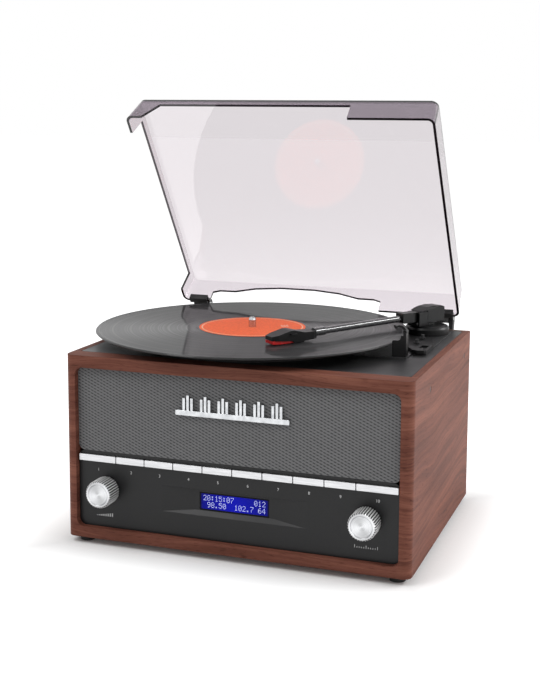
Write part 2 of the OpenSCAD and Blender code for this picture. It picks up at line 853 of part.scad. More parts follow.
module main_board() color(board_green) {
    slab(-board_x, board_x, board_y0, board_y1, board_z, board_up);
    for (y = [board_y0 + leg_in, board_y1 - leg_in])
        both_sides() rod_z(board_x - leg_in, y, floor_z, board_z + eps, leg_r);
    // radio can
    slab(can_x0, can_x0 + can_w, can_y0, can_y0 + can_d, board_up - eps, board_up + can_h);
    // finned heat sink of the amplifier
    slab(sink_x0, sink_x0 + sink_fins * sink_pitch, sink_y0, sink_y0 + sink_t,
        board_up - eps, board_up + sink_h);
    for (i = [0:sink_fins - 1])
        slab(sink_x0 + 1 + i * sink_pitch, sink_x0 + 1 + sink_fin_t + i * sink_pitch,
            sink_y0 + sink_t - eps, sink_y0 + sink_d, board_up - eps, board_up + sink_h);
    // smoothing capacitors
    both_sides() rod_z(cap_pitch / 2, cap_body_y, board_up - eps, board_up + cap_body_h, cap_body_r);
}

// --------------------------------------------------------------- back plate

module terminal_plate() color(jet) difference() {
    union() {
        along_y(back_y, back_y + plate_t) translate([0, plate_z]) round_rect(plate_w, plate_h, plate_corner);
        along_y(back_y - plate_depth, back_y + eps) translate([0, plate_z])
            round_rect(hole_w - 2 * fit, hole_h - 2 * fit, plate_corner - fit);
    }
    along_y(back_y - plate_depth - 1, back_y - 0.5) translate([0, plate_z])
        round_rect(hole_w - 2 * plate_wall, hole_h - 2 * plate_wall, 1);
    for (x = line_out_x) rod_y(x, plate_z, back_y - 1, back_y + plate_t + 1, rca_r + shell_wall);
    rod_y(aux_x, plate_z, back_y - 1, back_y + plate_t + 1, aux_nut_r);
    rod_y(power_x, plate_z, back_y - 1, back_y + plate_t + 1, power_nut_r);
}

module line_out_jacks() color(chrome) for (x = line_out_x) difference() {
    union() {
        rod_y(x, plate_z, back_y - rca_depth, back_y + plate_t, rca_r + shell_wall);
        rod_y(x, plate_z, back_y + plate_t - eps, back_y + plate_t + rca_len, rca_r);
    }
    rod_y(x, plate_z, back_y, back_y + plate_t + rca_len + 1, rca_hole_r);
}

module aux_jack() color("#4a4c50") difference() {
    rod_y(aux_x, plate_z, back_y + plate_t - aux_depth - jack_end, back_y + plate_t + aux_nut_t, aux_nut_r);
    rod_y(aux_x, plate_z, back_y + plate_t + aux_nut_t - aux_depth, back_y + plate_t + 2, aux_r);
}

module power_jack() color("#2a2b2d") difference() {
    rod_y(power_x, plate_z, back_y + plate_t - power_depth - jack_end,
        back_y + plate_t + power_nut_t, power_nut_r);
    rod_y(power_x, plate_z, back_y + plate_t + power_nut_t - power_depth, back_y + plate_t + 2, power_r);
}

// ------------------------------------------------------------ record player

module deck() color(jet) difference() {
    translate([0, 0, deck_z]) linear_extrude(deck_t) translate([0, (deck_y0 + deck_y1) / 2])
        round_rect(2 * deck_x, deck_y1 - deck_y0, 3);
    rod_z(spindle_x, spindle_y, deck_z - 1, top_z + 1, bearing_r + fit);
    rod_z(motor_x, motor_y, deck_z - 1, top_z + 1, motor_hole_r);
    rod_z(arm_x, arm_y, deck_z - 1, top_z + 1, arm_boss_r + shell_fit);
    switch_slots(deck_z - 1, top_z + 1);
}

// slots that the two switch pegs run in
module switch_slots(z0, z1) {
    for (y = [speed_y, stop_y - peg_travel])
        slab(peg_x - peg_slot_half, peg_x + peg_slot_half, y - 2, y + peg_travel + 2, z0, z1);
}

module chassis_outline() {
    translate([spindle_x, spindle_y]) circle(r = platter_r + plate_rim);
    translate([0, rest_y0 - rest_land]) square([rest_right + 1, switch_y0 - rest_y0 + 2 * rest_land]);
    translate([0, switch_y0]) square([arm_x + side_land, deck_y1 - deck_land - switch_y0]);
}

module chassis_plate() color("#232324") difference() {
    translate([0, 0, top_z]) linear_extrude(chassis_t) chassis_outline();
    rod_z(spindle_x, spindle_y, top_z - 1, chassis_z + 1, sleeve_r + shell_fit);
    rod_z(motor_x, motor_y, top_z - 1, chassis_z + 1, motor_hole_r);
    rod_z(arm_x, arm_y, top_z - 1, chassis_z + 1, arm_boss_r + shell_fit);
    switch_slots(top_z - 1, chassis_z + 1);
}

module spindle() color(steel) translate([spindle_x, spindle_y, 0]) {
    rotate_extrude() polygon([[0, spindle_low], [spindle_r, spindle_low],
        [spindle_r, tip_z - 3], [spindle_r - 0.5, tip_z - 1.5],
        [spindle_r - 1.6, tip_z - 0.4], [0, tip_z]]);
}

// brass seat of the spindle under the deck, with the washer the platter runs on
module bearing() color("#b08d45") difference() {
    union() {
        rod_z(spindle_x, spindle_y, deck_z - seat_t, deck_z, seat_r);
        rod_z(spindle_x, spindle_y, spindle_low - 1, top_z, bearing_r);
        rod_z(spindle_x, spindle_y, top_z - eps, hub_z - thrust_gap, sleeve_r);
        rod_z(spindle_x, spindle_y, chassis_z, hub_z - thrust_gap, washer_r);
    }
    rod_z(spindle_x, spindle_y, spindle_low, hub_z + 1, spindle_r);
}

module platter() color("#3a3b3d") translate([spindle_x, spindle_y, 0]) rotate_extrude() polygon([
    [bore_r, hub_z], [hub_r, hub_z], [hub_r, platter_top - platter_t],
    [belt_ring_r - ring_wall, platter_top - platter_t], [belt_ring_r - ring_wall, ring_z],
    [belt_ring_r, ring_z],
    [belt_ring_r, platter_top - platter_t], [platter_r - ring_wall, platter_top - platter_t],
    [platter_r - ring_wall, ring_z + 0.6], [platter_r, ring_z + 0.6], [platter_r, platter_top - 0.8],
    [platter_r - 0.8, platter_top], [bore_r, platter_top]]);

module mat() color("#151515") difference() {
    rod_z(spindle_x, spindle_y, mat_z, record_z, platter_r - 2);
    rod_z(spindle_x, spindle_y, mat_z - 1, record_z + 1, mat_bore_r);
}

// long-playing record: raised edge bead and label seat, thinner grooved band
module record() color("#0c0c0d") translate([spindle_x, spindle_y, 0]) rotate_extrude() polygon([
    [bore_r, record_z], [record_r - 1, record_z], [record_r, record_z + record_t / 2],
    [record_r - 1, record_top], [record_r - 3, record_top - 0.02], [record_r - 5, record_top - groove_down],
    [label_r + 3, record_top - groove_down], [label_r + 1, record_top], [bore_r, record_top]]);

module record_label() color("#ee6a42") difference() {
    rod_z(spindle_x, spindle_y, record_top, record_top + label_t, label_r);
    rod_z(spindle_x, spindle_y, record_top - 1, record_top + 1, bore_r);
}

module motor() color(steel) {
    rod_z(motor_x, motor_y, deck_z - motor_h, deck_z, motor_r);
    rod_z(motor_x, motor_y, deck_z - eps, belt_z + belt_h, motor_shaft_r);
}

module pulley() color("#b08d45") translate([motor_x, motor_y, 0]) rotate_extrude() polygon([
    [motor_shaft_r + run_fit, belt_z - belt_margin], [pulley_r, belt_z - belt_margin],
    [pulley_r, belt_z + belt_h], [motor_shaft_r + run_fit, belt_z + belt_h]]);

module belt_loop(gap) hull() {
    translate([spindle_x, spindle_y]) circle(r = belt_ring_r + gap, $fn = 72);
    translate([motor_x, motor_y]) circle(r = pulley_r + gap, $fn = 24);
}

module belt() color("#101010") translate([0, 0, belt_z]) linear_extrude(belt_h - 0.4) difference() {
    belt_loop(belt_gap + belt_t + belt_slack);
    belt_loop(belt_gap + belt_slack);
}

// ----------------------------------------------------------------- tonearm

module arm_base() color(jet) difference() {
    union() {
        translate([arm_x, arm_y, 0]) rotate_extrude() polygon([[0, chassis_z], [arm_base_r, chassis_z],
            [arm_base_r, arm_base_top - 3], [arm_base_r - 1.2, arm_base_top - 1.2],
            [arm_base_r - 4, arm_base_top], [0, arm_base_top]]);
        rod_z(arm_x, arm_y, arm_boss_z, chassis_z + eps, arm_boss_r);
    }
    rod_z(arm_x, arm_y, arm_boss_z - 1, arm_base_top + 1, arm_shaft_r + run_fit);
}

// everything from here to the cartridge is drawn along -Y and swung into place
module on_arm() translate([arm_x, arm_y, 0]) rotate([0, 0, -arm_play]) children();

module arm_yoke() color("#161617") on_arm() {
    rod_z(0, 0, arm_boss_z - 2, yoke_z + eps, arm_shaft_r);
    rod_z(0, 0, arm_boss_z - arm_nut_t, arm_boss_z - shell_fit, arm_nut_r);
    rod_z(0, 0, yoke_z, yoke_z + yoke_t, yoke_r);
    slab(-cheek_in - cheek_t, cheek_in + cheek_t, -pitch_at - cheek_half, 0, yoke_z, yoke_z + yoke_t);
    both_sides() slab(cheek_in, cheek_in + cheek_t, -pitch_at - cheek_half, -pitch_at + cheek_half,
        yoke_z + yoke_t - eps, cheek_top);
    rod_x(-pitch_at, pitch_z, -cheek_in - eps, cheek_in + eps, pin_r);
}

// housing with a narrower nose that holds the tube
module arm_housing() color("#3a3a3b") on_arm() difference() {
    union() {
        along_x(-arm_half_w, arm_half_w) polygon([
            [-arm_len_front, block_low], [arm_len_back, block_low], [arm_len_back, block_top - 1.8],
            [arm_len_back - 3, block_top - 0.8], [2, block_top], [-6, block_top - 0.8],
            [-arm_len_front, block_top - 4.4]]);
        along_x(-nose_half, nose_half) polygon([
            [-nose_end, arm_z - nose_down + 1.4], [-nose_end + 2, arm_z - nose_down],
            [-arm_len_front + 1, arm_z - nose_down], [-arm_len_front + 1, arm_z + nose_up - 0.6],
            [-nose_end + 1, arm_z + nose_up], [-nose_end, arm_z + nose_up - 1]]);
    }
    // seats of the yoke's cheeks
    both_sides() slab(cheek_in - shell_fit, arm_half_w + 1, -arm_len_front - 1,
        -pitch_at + cheek_half + 0.5, top_z, cheek_top + cheek_play);
    // bevels along the upper edges
    both_sides() translate([arm_half_w, 0, block_top - bevel_down]) rotate([0, -bevel_angle, 0])
        slab(0, arm_half_w, -arm_len_front - 2, arm_len_back + 2, -2, arm_half_w);
    rod_x(-pitch_at, pitch_z, -arm_half_w, arm_half_w, pin_r + run_fit);
    rod_y(0, arm_z, -nose_end - 1, -tube_end, arm_tube_r);
}

module arm_tube() color("#4b4b4d") on_arm() {
    rod_y(0, arm_z, -head_at + 1, -tube_end, arm_tube_r);
    rod_y(0, arm_z, -head_at, -head_at + collar_len, collar_r);
}

module on_head() on_arm() translate([0, -head_at, 0]) rotate([0, 0, -head_offset]) children();

// headshell: a humped shell with a sloping nose, open below, and a short finger lift
module headshell() color("#1b1b1c") on_head() {
    difference() {
        intersection() {
            translate([0, 0, head_low]) linear_extrude(arm_lift) polygon([
                [-5, 0], [5, 0], [7, -4], [head_w / 2, -14], [head_w / 2, 6 - head_len],
                [head_w / 2 - 2.5, -head_len], [2.5 - head_w / 2, -head_len],
                [-head_w / 2, 6 - head_len], [-head_w / 2, -14], [-7, -4]]);
            along_x(-head_w, head_w) polygon([[0, arm_z - 4.4], [0, arm_z + 2.2],
                [-14, arm_z + 2.6], [-25, arm_z + 5.2], [-29, arm_z + 5.2],
                [5 - head_len, arm_z + 1.9], [-head_len, arm_z + 0.8], [-head_len, arm_z - 2.6],
                [-27, arm_z - 4.2], [-26, head_low], [-15.5, head_low], [-14.5, arm_z - 5]]);
        }
        slab(head_wall - head_w / 2, head_w / 2 - head_wall, 2 - head_len, -16, head_low - 1, head_roof);
    }
    slab(head_w / 2 - eps, head_w / 2 + 2.6, -30, -24, arm_z + 1.6, arm_z + 2.6);
}

// cartridge body in the shell, with the needle holder below the nose
module cartridge() color("#c0181c") on_head() {
    along_x(shell_fit + head_wall - head_w / 2, head_w / 2 - head_wall - shell_fit) polygon([
        [-17, head_roof], [3 - head_len, head_roof], [3 - head_len, arm_z - 3.1],
        [-head_len, arm_z - 3], [1 - head_len, record_top + 1], [8 - head_len, record_top + 0.6],
        [-27, record_top + 0.7], [-17, record_top + 1.4]]);
    translate([0, 9 - head_len, 0]) rotate_extrude() polygon([[0, record_top + stylus_gap],
        [0.4, record_top + stylus_gap + 0.6], [0.4, record_top + 2], [0, record_top + 2]]);
}

// ---------------------------------------------------- arm rest and switches

module arm_rest() color(jet) difference() {
    union() {
        intersection() {
            along_y(rest_y0, rest_y1) polygon([[rest_left, chassis_z], [rest_right, chassis_z],
                [rest_right, rest_top], [rest_right - 2.6, rest_top],
                [rest_right - 2.8, rest_wall_top], [rest_x + 3.8, rest_wall_top],
                [rest_x, cradle_low], [rest_left + 0.8, cradle_low], [rest_left, cradle_low - 1]]);
            // the rear left corner makes way for the record's rim
            translate([0, 0, chassis_z]) linear_extrude(rest_top) polygon([[rest_left, rest_y0],
                [rest_right, rest_y0], [rest_right, rest_y1], [rest_left + rest_chamfer, rest_y1]]);
        }
        for (y = [rest_y0, rest_y1 - ear_t])
            rod_y(clip_pin_x, clip_pin_z, y, y + ear_t, clip_barrel_r);
    }
    rod_y(rest_x, arm_z, rest_y0 - 1, rest_y1 + 1, cradle_r);
    rod_y(clip_pin_x, clip_pin_z, rest_y0 - 1, rest_y1 + 1, clip_pin_r + run_fit);
    rod_y(clip_pin_x, clip_pin_z, rest_y0 + ear_t, rest_y1 - ear_t, clip_barrel_r + fit);
}

// swinging clip that locks the parked tube
module arm_clip() color("#111112") {
    rod_y(clip_pin_x, clip_pin_z, rest_y0 + ear_t + fit, rest_y1 - ear_t - fit, clip_barrel_r);
    rod_y(clip_pin_x, clip_pin_z, rest_y0 + shell_fit, rest_y1 - shell_fit, clip_pin_r);
    translate([clip_pin_x, 0, clip_pin_z]) along_y(rest_y0 + ear_t + fit, rest_y1 - ear_t - fit) polygon([
        [1.3, 1], [-0.4, 3.6], [-3, 5.4], [-6, 5.6], [-8.4, 4.3], [-9.6, 5.6], [-10.8, 5.2],
        [-9.6, 2.1], [-8.2, 2.3], [-6, 3.7], [-3.6, 3.4], [-1.6, 1.5], [-1.2, -0.6]]);
}

module switch_block() color("#2c2c2d") difference() {
    translate([arm_x, 0, chassis_z]) linear_extrude(switch_top - chassis_z) polygon([
        [1.5, 1.5], [9, -12], [14, -15], [20.6, -14.2], [22, -12], [22, 20],
        [20.2, 29], [15, 47], [2.5, 47], [1.5, 30]]);
    switch_slots(chassis_z - 1, switch_top + 1);
    // finger recess with a short foot
    translate([arm_x, 0, 0]) {
        slab(finger_x0, finger_x1, finger_y0, finger_y1, switch_top - finger_depth, switch_top + 1);
        slab(finger_x1 - finger_toe_w, finger_x1, finger_y0 - finger_toe, finger_y0 + eps,
            switch_top - finger_depth, switch_top + 1);
    }
}

module peg(y) color("#121213") {
    translate([peg_x, y, 0]) {
        slab(-peg_half, peg_half, -peg_len / 2, peg_len / 2, peg_low, switch_top + peg_cap_t / 2);
        slab(-peg_foot, peg_foot, -1.9, 1.9, peg_low, deck_z - fit);
        slab(-peg_cap, peg_cap, -1.7, 1.7, switch_top + fit, switch_top + fit + peg_cap_t);
        rod_z(0, 0, switch_top + 1, switch_top + peg_h, peg_r);
    }
}
module speed_peg() peg(speed_y);
module stop_peg() peg(stop_y);

// --------------------------------------------------------------------- lid

module swung_open() translate([0, hinge_y, hinge_z]) rotate([-lid_open, 0, 0])
    translate([0, -hinge_y, -hinge_z]) children();

// a thin rounded slice of the lid's outline at one height
module lid_slice(z, grow, inset)
    translate([0, (lid_front + lid_back) / 2, z]) linear_extrude(eps)
        round_rect(lid_w + 2 * grow - 2 * inset, lid_d + 2 * grow - 2 * inset, lid_corner - inset, $fn = 32);

module lid_body() difference() {
    hull() {
        lid_slice(lid_z0, lid_draft, 0);
        lid_slice(lid_z1 - lid_edge, 0.1, 0);
        lid_slice(lid_z1 - eps, 0, 1);
    }
    hull() {
        lid_slice(lid_z0 - 1, lid_draft * (1 + 1 / lid_h), lid_t);
        lid_slice(lid_z1 - lid_t, lid_draft * lid_t / lid_h, lid_t);
    }
}

module front_notch() along_y(lid_front - notch_reach, lid_front + notch_reach + 2) polygon([
    [notch_left - 6, lid_z0 - 1], [notch_left + 6, lid_z0 + lid_notch],
    [notch_right - 2, lid_z0 + lid_notch], [notch_right, lid_z0 - 1]]);

module side_notch() along_x(-lid_w / 2 - notch_reach, -lid_w / 2 + notch_reach + 2) polygon([
    [side_notch_y0, lid_z0 - 1], [side_notch_y0 + 1.5, lid_z0 + lid_notch],
    [side_notch_y1 - 3, lid_z0 + lid_notch], [side_notch_y1, lid_z0 - 1]]);

module rear_notch() along_y(lid_back - notch_reach - 2, lid_back + notch_reach)
    translate([spindle_x, lid_z0]) for (m = [0, 1]) mirror([m, 0]) polygon([
        [-0.1, -1], [rear_notch_half, -1], [rear_notch_half - 0.5, rear_notch_h - 2.7],
        [rear_notch_half - 8, rear_notch_h - 0.2], [rear_notch_half - 25.5, rear_notch_h],
        [rear_notch_half / 2, rear_arch_h - 2.9], [rear_notch_half / 5, rear_arch_h],
        [-0.1, rear_arch_h]]);

module lid() color(smoke, 0.45) swung_open() difference() {
    lid_body();
    front_notch();
    side_notch();
    rear_notch();
}

// channel on the lid's rear edge with a hinge barrel
module lid_clips() color(jet) swung_open() both_sides() difference() {
    union() {
        translate([0, lid_back + lid_draft, lid_z0]) rotate([draft_angle, 0, 0]) {
            slab(clip_x0, clip_x1, 0, clip_t, -clip_foot, clip_h);
            slab(clip_x0, clip_x1, -lid_t - clip_fit - clip_t, clip_t, -clip_foot, -clip_fit);
            slab(clip_x0, clip_x1, -lid_t - clip_fit - clip_t, -lid_t - clip_fit, -clip_foot, clip_h);
        }
        along_x(barrel_x0, barrel_x1) polygon([[lid_back + lid_draft + 1, lid_z0 + 0.6],
            [hinge_y, hinge_z - hinge_r], [hinge_y, hinge_z + hinge_r - 2],
            [lid_back + lid_draft + 1, lid_z0 + clip_h - 0.4]]);
        rod_x(hinge_y, hinge_z, barrel_x0, barrel_x1, hinge_r);
    }
    rod_x(hinge_y, hinge_z, barrel_x0 - 1, barrel_x1 + 1, hinge_pin_r + pin_fit);
}

module ear(x0, x1) {
    rod_x(hinge_y, hinge_z, x0, x1, hinge_r);
    along_x(x0, x1) polygon([[back_y, bracket_low + ear_foot], [back_y + bracket_t, bracket_low + ear_foot],
        [hinge_y + hinge_r, hinge_z], [hinge_y - hinge_r, hinge_z], [back_y + bracket_t + 1.4, top_z],
        [back_y + bracket_t, top_z - bracket_down], [back_y, top_z - bracket_down]]);
}

module hinge_brackets() color("#19191a") both_sides() difference() {
    union() {
        slab(bracket_x0, bracket_x1, back_y, back_y + bracket_t, bracket_low, top_z - bracket_down);
        ear(bracket_x0, barrel_x0 - ear_gap);
        ear(barrel_x1 + ear_gap, bracket_x1);
    }
    rod_x(hinge_y, hinge_z, bracket_x0 - 1, bracket_x1 + 1, hinge_pin_r);
    for (z = [screw_up, screw_up + screw_pitch])
        rod_y(bracket_x, bracket_low + z, back_y - 1, back_y + bracket_t + 1, screw_r);
}

module hinge_pins() color(steel) both_sides()
    rod_x(hinge_y, hinge_z, bracket_x0, bracket_x1, hinge_pin_r);

// ------------------------------------------------------------------- nodes

case_shell();
rear_board();
feet();
side_caps();
baffle_board();
grille_frame();
grille_cloth();
speaker_frames();
speaker_cones();
badge();
front_panel();
key_1();
key_2();
key_3();
key_4();
key_5();
key_6();
key_7();
key_8();
key_9();
key_10();
control_board();
panel_controls();
lcd_module();
lcd_glass();
volume_shaft();
volume_knob();
tune_shaft();
tune_knob();
main_board();
terminal_plate();
line_out_jacks();
aux_jack();
power_jack();
deck();
chassis_plate();
spindle();
bearing();
platter();
mat();
record();
record_label();
motor();
pulley();
belt();
arm_base();
arm_yoke();
arm_housing();
arm_tube();
headshell();
cartridge();
arm_rest();
arm_clip();
switch_block();
speed_peg();
stop_peg();
lid();
lid_clips();
hinge_brackets();
hinge_pins();
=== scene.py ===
# Table-top stereo music centre: walnut case, radio front, record player and
# hinged clear lid, dressed over the fixed construction model.
from math import cos, pi, radians, sin

import bpy
from mathutils import Matrix, Vector


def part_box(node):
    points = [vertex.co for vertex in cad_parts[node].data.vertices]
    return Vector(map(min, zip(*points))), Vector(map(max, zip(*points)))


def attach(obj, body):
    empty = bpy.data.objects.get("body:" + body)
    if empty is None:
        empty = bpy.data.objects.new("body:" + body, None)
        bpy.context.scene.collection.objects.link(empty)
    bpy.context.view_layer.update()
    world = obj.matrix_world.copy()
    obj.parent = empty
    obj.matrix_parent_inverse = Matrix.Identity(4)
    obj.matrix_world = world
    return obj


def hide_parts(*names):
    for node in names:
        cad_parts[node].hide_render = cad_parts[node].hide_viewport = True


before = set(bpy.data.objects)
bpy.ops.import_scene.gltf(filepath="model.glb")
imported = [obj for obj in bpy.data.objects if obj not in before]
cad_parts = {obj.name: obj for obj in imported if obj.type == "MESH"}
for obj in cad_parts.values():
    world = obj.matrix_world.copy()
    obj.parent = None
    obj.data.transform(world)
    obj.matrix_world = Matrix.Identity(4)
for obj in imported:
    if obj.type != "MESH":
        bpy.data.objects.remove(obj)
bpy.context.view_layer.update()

# ---------------------------------------------------------- wooden case
# A four-sided box of 10 mm MDF, wrapped in a walnut-printed foil whose grain
# runs level round the upright edges, and finished with a satin lacquer.
MM = 0.001  # the scene is in metres; sizes below are in mm, but for the lamps and the camera


def box_mm(node):
    """The lowest and the highest corner of a piece of the CAD model, in mm."""
    return [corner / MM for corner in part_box(node)]


def middle_mm(node):
    """The middle of that piece's box, in mm."""
    low, high = box_mm(node)
    return (low + high) / 2


RAIL_BACK = box_mm("deck")[0].y - 0.2  # rear edge of the wooden rail, in the gap before the deck


def linear(code):
    """An sRGB hex colour as the linear colour that a socket takes."""
    parts = [int(code[i : i + 2], 16) / 255 for i in (1, 3, 5)]
    return [p / 12.92 if p <= 0.04045 else ((p + 0.055) / 1.055) ** 2.4 for p in parts] + [1]


def every(size):
    """How many times per metre a pattern repeats when one repeat is size mm."""
    return 1 / (size * MM)


def add(tree, kind, settings=(), links=()):
    """Adds a node, sets its values and links its inputs to sockets or to nodes' first outputs.

    A setting named stops gives a colour ramp its places and colours, in rising order.
    """
    made = tree.nodes.new("ShaderNode" + kind)
    for key, value in dict(settings).items():
        if key == "stops":
            ramp = made.color_ramp.elements
            for place, colour in value[1:-1]:
                ramp.new(place)
            for stop, (place, colour) in zip(ramp, value):
                stop.position, stop.color = place, linear(colour)
        elif isinstance(key, int) or key in made.inputs:
            made.inputs[key].default_value = value
        else:
            setattr(made if hasattr(made, key) else made.color_ramp, key, value)
    for key, source in dict(links).items():
        tree.links.new(getattr(source, "outputs", [source])[0], made.inputs[key])
    return made


def finish_named(name):
    """A new empty material and its node tree."""
    material = bpy.data.materials.new(name)
    material.use_nodes = True
    material.node_tree.nodes.clear()
    return material, material.node_tree


def dress(material, *names):
    """Gives the material to these pieces of the CAD model."""
    for name in names:
        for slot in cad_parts[name].material_slots:
            slot.material = material


def walnut_foil():
    """Walnut foil under satin lacquer: long brown streaks with darker pores."""
    material, tree = finish_named("walnut foil, satin lacquer")

    def figure(course, length, width, detail, roughness=0.5):
        # noise drawn out to that length along the grain and that width across it, in mm
        spread = (every(length), 1, every(width))
        drawn = add(tree, "VectorMath", {"operation": "MULTIPLY", 1: spread}, {0: course})
        return add(tree, "TexNoise", {"Scale": 1, "Detail": detail, "Roughness": roughness},
                   {"Vector": drawn})

    spot = add(tree, "TexCoord")
    at = add(tree, "SeparateXYZ", (), {0: spot.outputs["Object"]})
    facing = add(tree, "SeparateXYZ", (), {0: spot.outputs["Normal"]})
    x, y, z = at.outputs
    # three courses for the grain: round the walls, along the front rail, along the side rims;
    # their values of Y keep the three figures apart
    round_edge = add(tree, "Math", {"operation": "ADD"}, {0: x, 1: y})
    wall = add(tree, "CombineXYZ", {"Y": 0}, {"X": round_edge, "Z": z})
    rail = add(tree, "CombineXYZ", {"Y": 3}, {"X": x, "Z": y})
    rim = add(tree, "CombineXYZ", {"Y": 5}, {"X": y, "Z": x})
    on_rail = add(tree, "Math", {"operation": "LESS_THAN", 1: RAIL_BACK * MM}, {0: y})
    top = add(tree, "Mix", {"data_type": "VECTOR"}, {0: on_rail, 4: rim, 5: rail})
    upward = add(tree, "Math", {"operation": "ABSOLUTE"}, {0: facing.outputs["Z"]})
    is_top = add(tree, "Math", {"operation": "GREATER_THAN", 1: 0.7}, {0: upward})
    along = add(tree, "Mix", {"data_type": "VECTOR"}, {0: is_top, 4: wall, 5: top.outputs[1]})
    # slow bends of the growth rings, 20 mm to either side
    bend = figure(along.outputs[1], 190, 60, 1)
    swing = add(tree, "MapRange", {"To Min": -20 * MM, "To Max": 20 * MM}, {"Value": bend})
    offset = add(tree, "CombineXYZ", (), {"Z": swing})
    bent = add(tree, "VectorMath", {"operation": "ADD"}, {0: along.outputs[1], 1: offset})
    # growth rings cut lengthwise: a faint dark late-wood line every 16 mm
    ring_at = add(tree, "VectorMath", {"operation": "DOT_PRODUCT", 1: (0, 0, 2 * pi * every(16))}, {0: bent})
    ring = add(tree, "Math", {"operation": "SINE"}, {0: ring_at.outputs["Value"]})
    late = add(tree, "MapRange", {"From Min": 0.5, "To Max": 0.05}, {"Value": ring})
    streak = figure(bent, 110, 2.6, 5, 0.62)
    band = figure(bent, 200, 16, 2)
    # pores are really 0.2 mm wide, drawn 1.1 mm wide so that they show
    pore = figure(bent, 9, 1.1, 2)
    pored = add(tree, "MapRange", {"From Min": 0.56, "From Max": 0.74, "To Max": 0.17}, {"Value": pore})
    # the tone is 0.6 of the streaks and 0.4 of the broad bands
    broad = add(tree, "Math", {"operation": "MULTIPLY", 1: 0.4}, {0: band})
    tone = add(tree, "Math", {"operation": "MULTIPLY_ADD", 1: 0.6}, {0: streak, 2: broad})
    ringed = add(tree, "Math", {"operation": "SUBTRACT"}, {0: tone, 1: late})
    worn = add(tree, "Math", {"operation": "SUBTRACT"}, {0: ringed, 1: pored})
    browns = [(0.24, "#42241b"), (0.37, "#5a3429"), (0.48, "#6c4135"), (0.62, "#825344")]
    brown = add(tree, "ValToRGB", {"stops": browns}, {0: worn})
    gloss = add(tree, "MapRange", {"To Min": 0.5, "To Max": 0.66}, {"Value": streak})
    edge = add(tree, "Bevel", {"samples": 4, "Radius": 1.2 * MM})
    relief = add(tree, "Bump", {"Strength": 0.35, "Distance": 0.12 * MM}, {"Height": worn, "Normal": edge})
    shader = add(tree, "BsdfPrincipled", {"IOR": 1.5, "Specular IOR Level": 0.12},
                 {"Base Color": brown, "Roughness": gloss, "Normal": relief})
    add(tree, "OutputMaterial", (), {0: shader})
    return material


dress(walnut_foil(), "case_shell")

# ----------------------------------------------------------- feet, caps
# Four pressed rubber feet on studs, and turned-in plastic caps that close the
# screw holes of the sides.


def moulded(name, colour, paler, roughness, grain, depth, ior=1.5, edge=0.4):
    """Moulded plastic or rubber: fine spark-eroded grain and softened edges.

    grain is the size of one grain, depth its height and edge the radius of the edges, in mm.
    """
    material, tree = finish_named(name)
    spot = add(tree, "TexCoord")
    grit = add(tree, "TexNoise", {"Scale": every(grain), "Detail": 3}, {"Vector": spot.outputs["Object"]})
    haze = add(tree, "TexNoise", {"Scale": every(45), "Detail": 3}, {"Vector": spot.outputs["Object"]})
    slow = add(tree, "Math", {"operation": "MULTIPLY", 1: 0.55}, {0: haze})
    mixed = add(tree, "Math", {"operation": "MULTIPLY_ADD", 1: 0.45}, {0: grit, 2: slow})
    tint = add(tree, "ValToRGB", {"stops": [(0.3, colour), (0.75, paler)]}, {0: mixed})
    gloss = add(tree, "MapRange", {"From Min": 0.3, "From Max": 0.7,
                                   "To Min": roughness - 0.05, "To Max": roughness + 0.07}, {"Value": haze})
    soft = add(tree, "Bevel", {"samples": 4, "Radius": edge * MM})
    relief = add(tree, "Bump", {"Strength": 0.5, "Distance": depth * MM}, {"Height": grit, "Normal": soft})
    shader = add(tree, "BsdfPrincipled", {"IOR": ior},
                 {"Base Color": tint, "Roughness": gloss, "Normal": relief})
    add(tree, "OutputMaterial", (), {0: shader})
    return material


# rubber: no gloss, so the feet stay black against the floor
RUBBER = moulded("black rubber, pressed", "#101010", "#1d1c1c", 0.75, 1.0, 0.05)
dress(RUBBER, "feet")
# ABS caps in dark brown, a shade under the wood
dress(moulded("brown ABS cap, moulded", "#24130e", "#3a2119", 0.45, 0.8, 0.02), "side_caps")

# ----------------------------------------------------------- rear board
# Pressed hardboard with its smooth face outwards, slotted for air, and held in
# the case by a row of cross-head screws.


def hardboard():
    """Hardboard: matt dark brown with short pale and dark fibres."""
    material, tree = finish_named("hardboard, pressed")
    spot = add(tree, "TexCoord")
    # fibres about 3 mm long, matted in every direction
    mat = add(tree, "TexNoise", {"Scale": every(3), "Detail": 8, "Roughness": 0.75, "Distortion": 1.6},
              {"Vector": spot.outputs["Object"]})
    cloud = add(tree, "TexNoise", {"Scale": every(60)}, {"Vector": spot.outputs["Object"]})
    slow = add(tree, "Math", {"operation": "MULTIPLY", 1: 0.3}, {0: cloud})
    both = add(tree, "Math", {"operation": "MULTIPLY_ADD", 1: 0.7}, {0: mat, 2: slow})
    tint = add(tree, "ValToRGB", {"stops": [(0.3, "#3a271c"), (0.5, "#523a2b"), (0.7, "#6d503b")]}, {0: both})
    relief = add(tree, "Bump", {"Strength": 0.5, "Distance": 0.15 * MM}, {"Height": mat})
    shader = add(tree, "BsdfPrincipled", {"Roughness": 0.68, "IOR": 1.5},
                 {"Base Color": tint, "Normal": relief})
    add(tree, "OutputMaterial", (), {0: shader})
    return material


dress(hardboard(), "rear_board", "baffle_board")


def seated(name, mesh, body):
    """A new piece with that mesh, riding on a body of the CAD model."""
    piece = bpy.data.objects.new(name, mesh)
    bpy.context.scene.collection.objects.link(piece)
    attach(piece, body)
    return piece


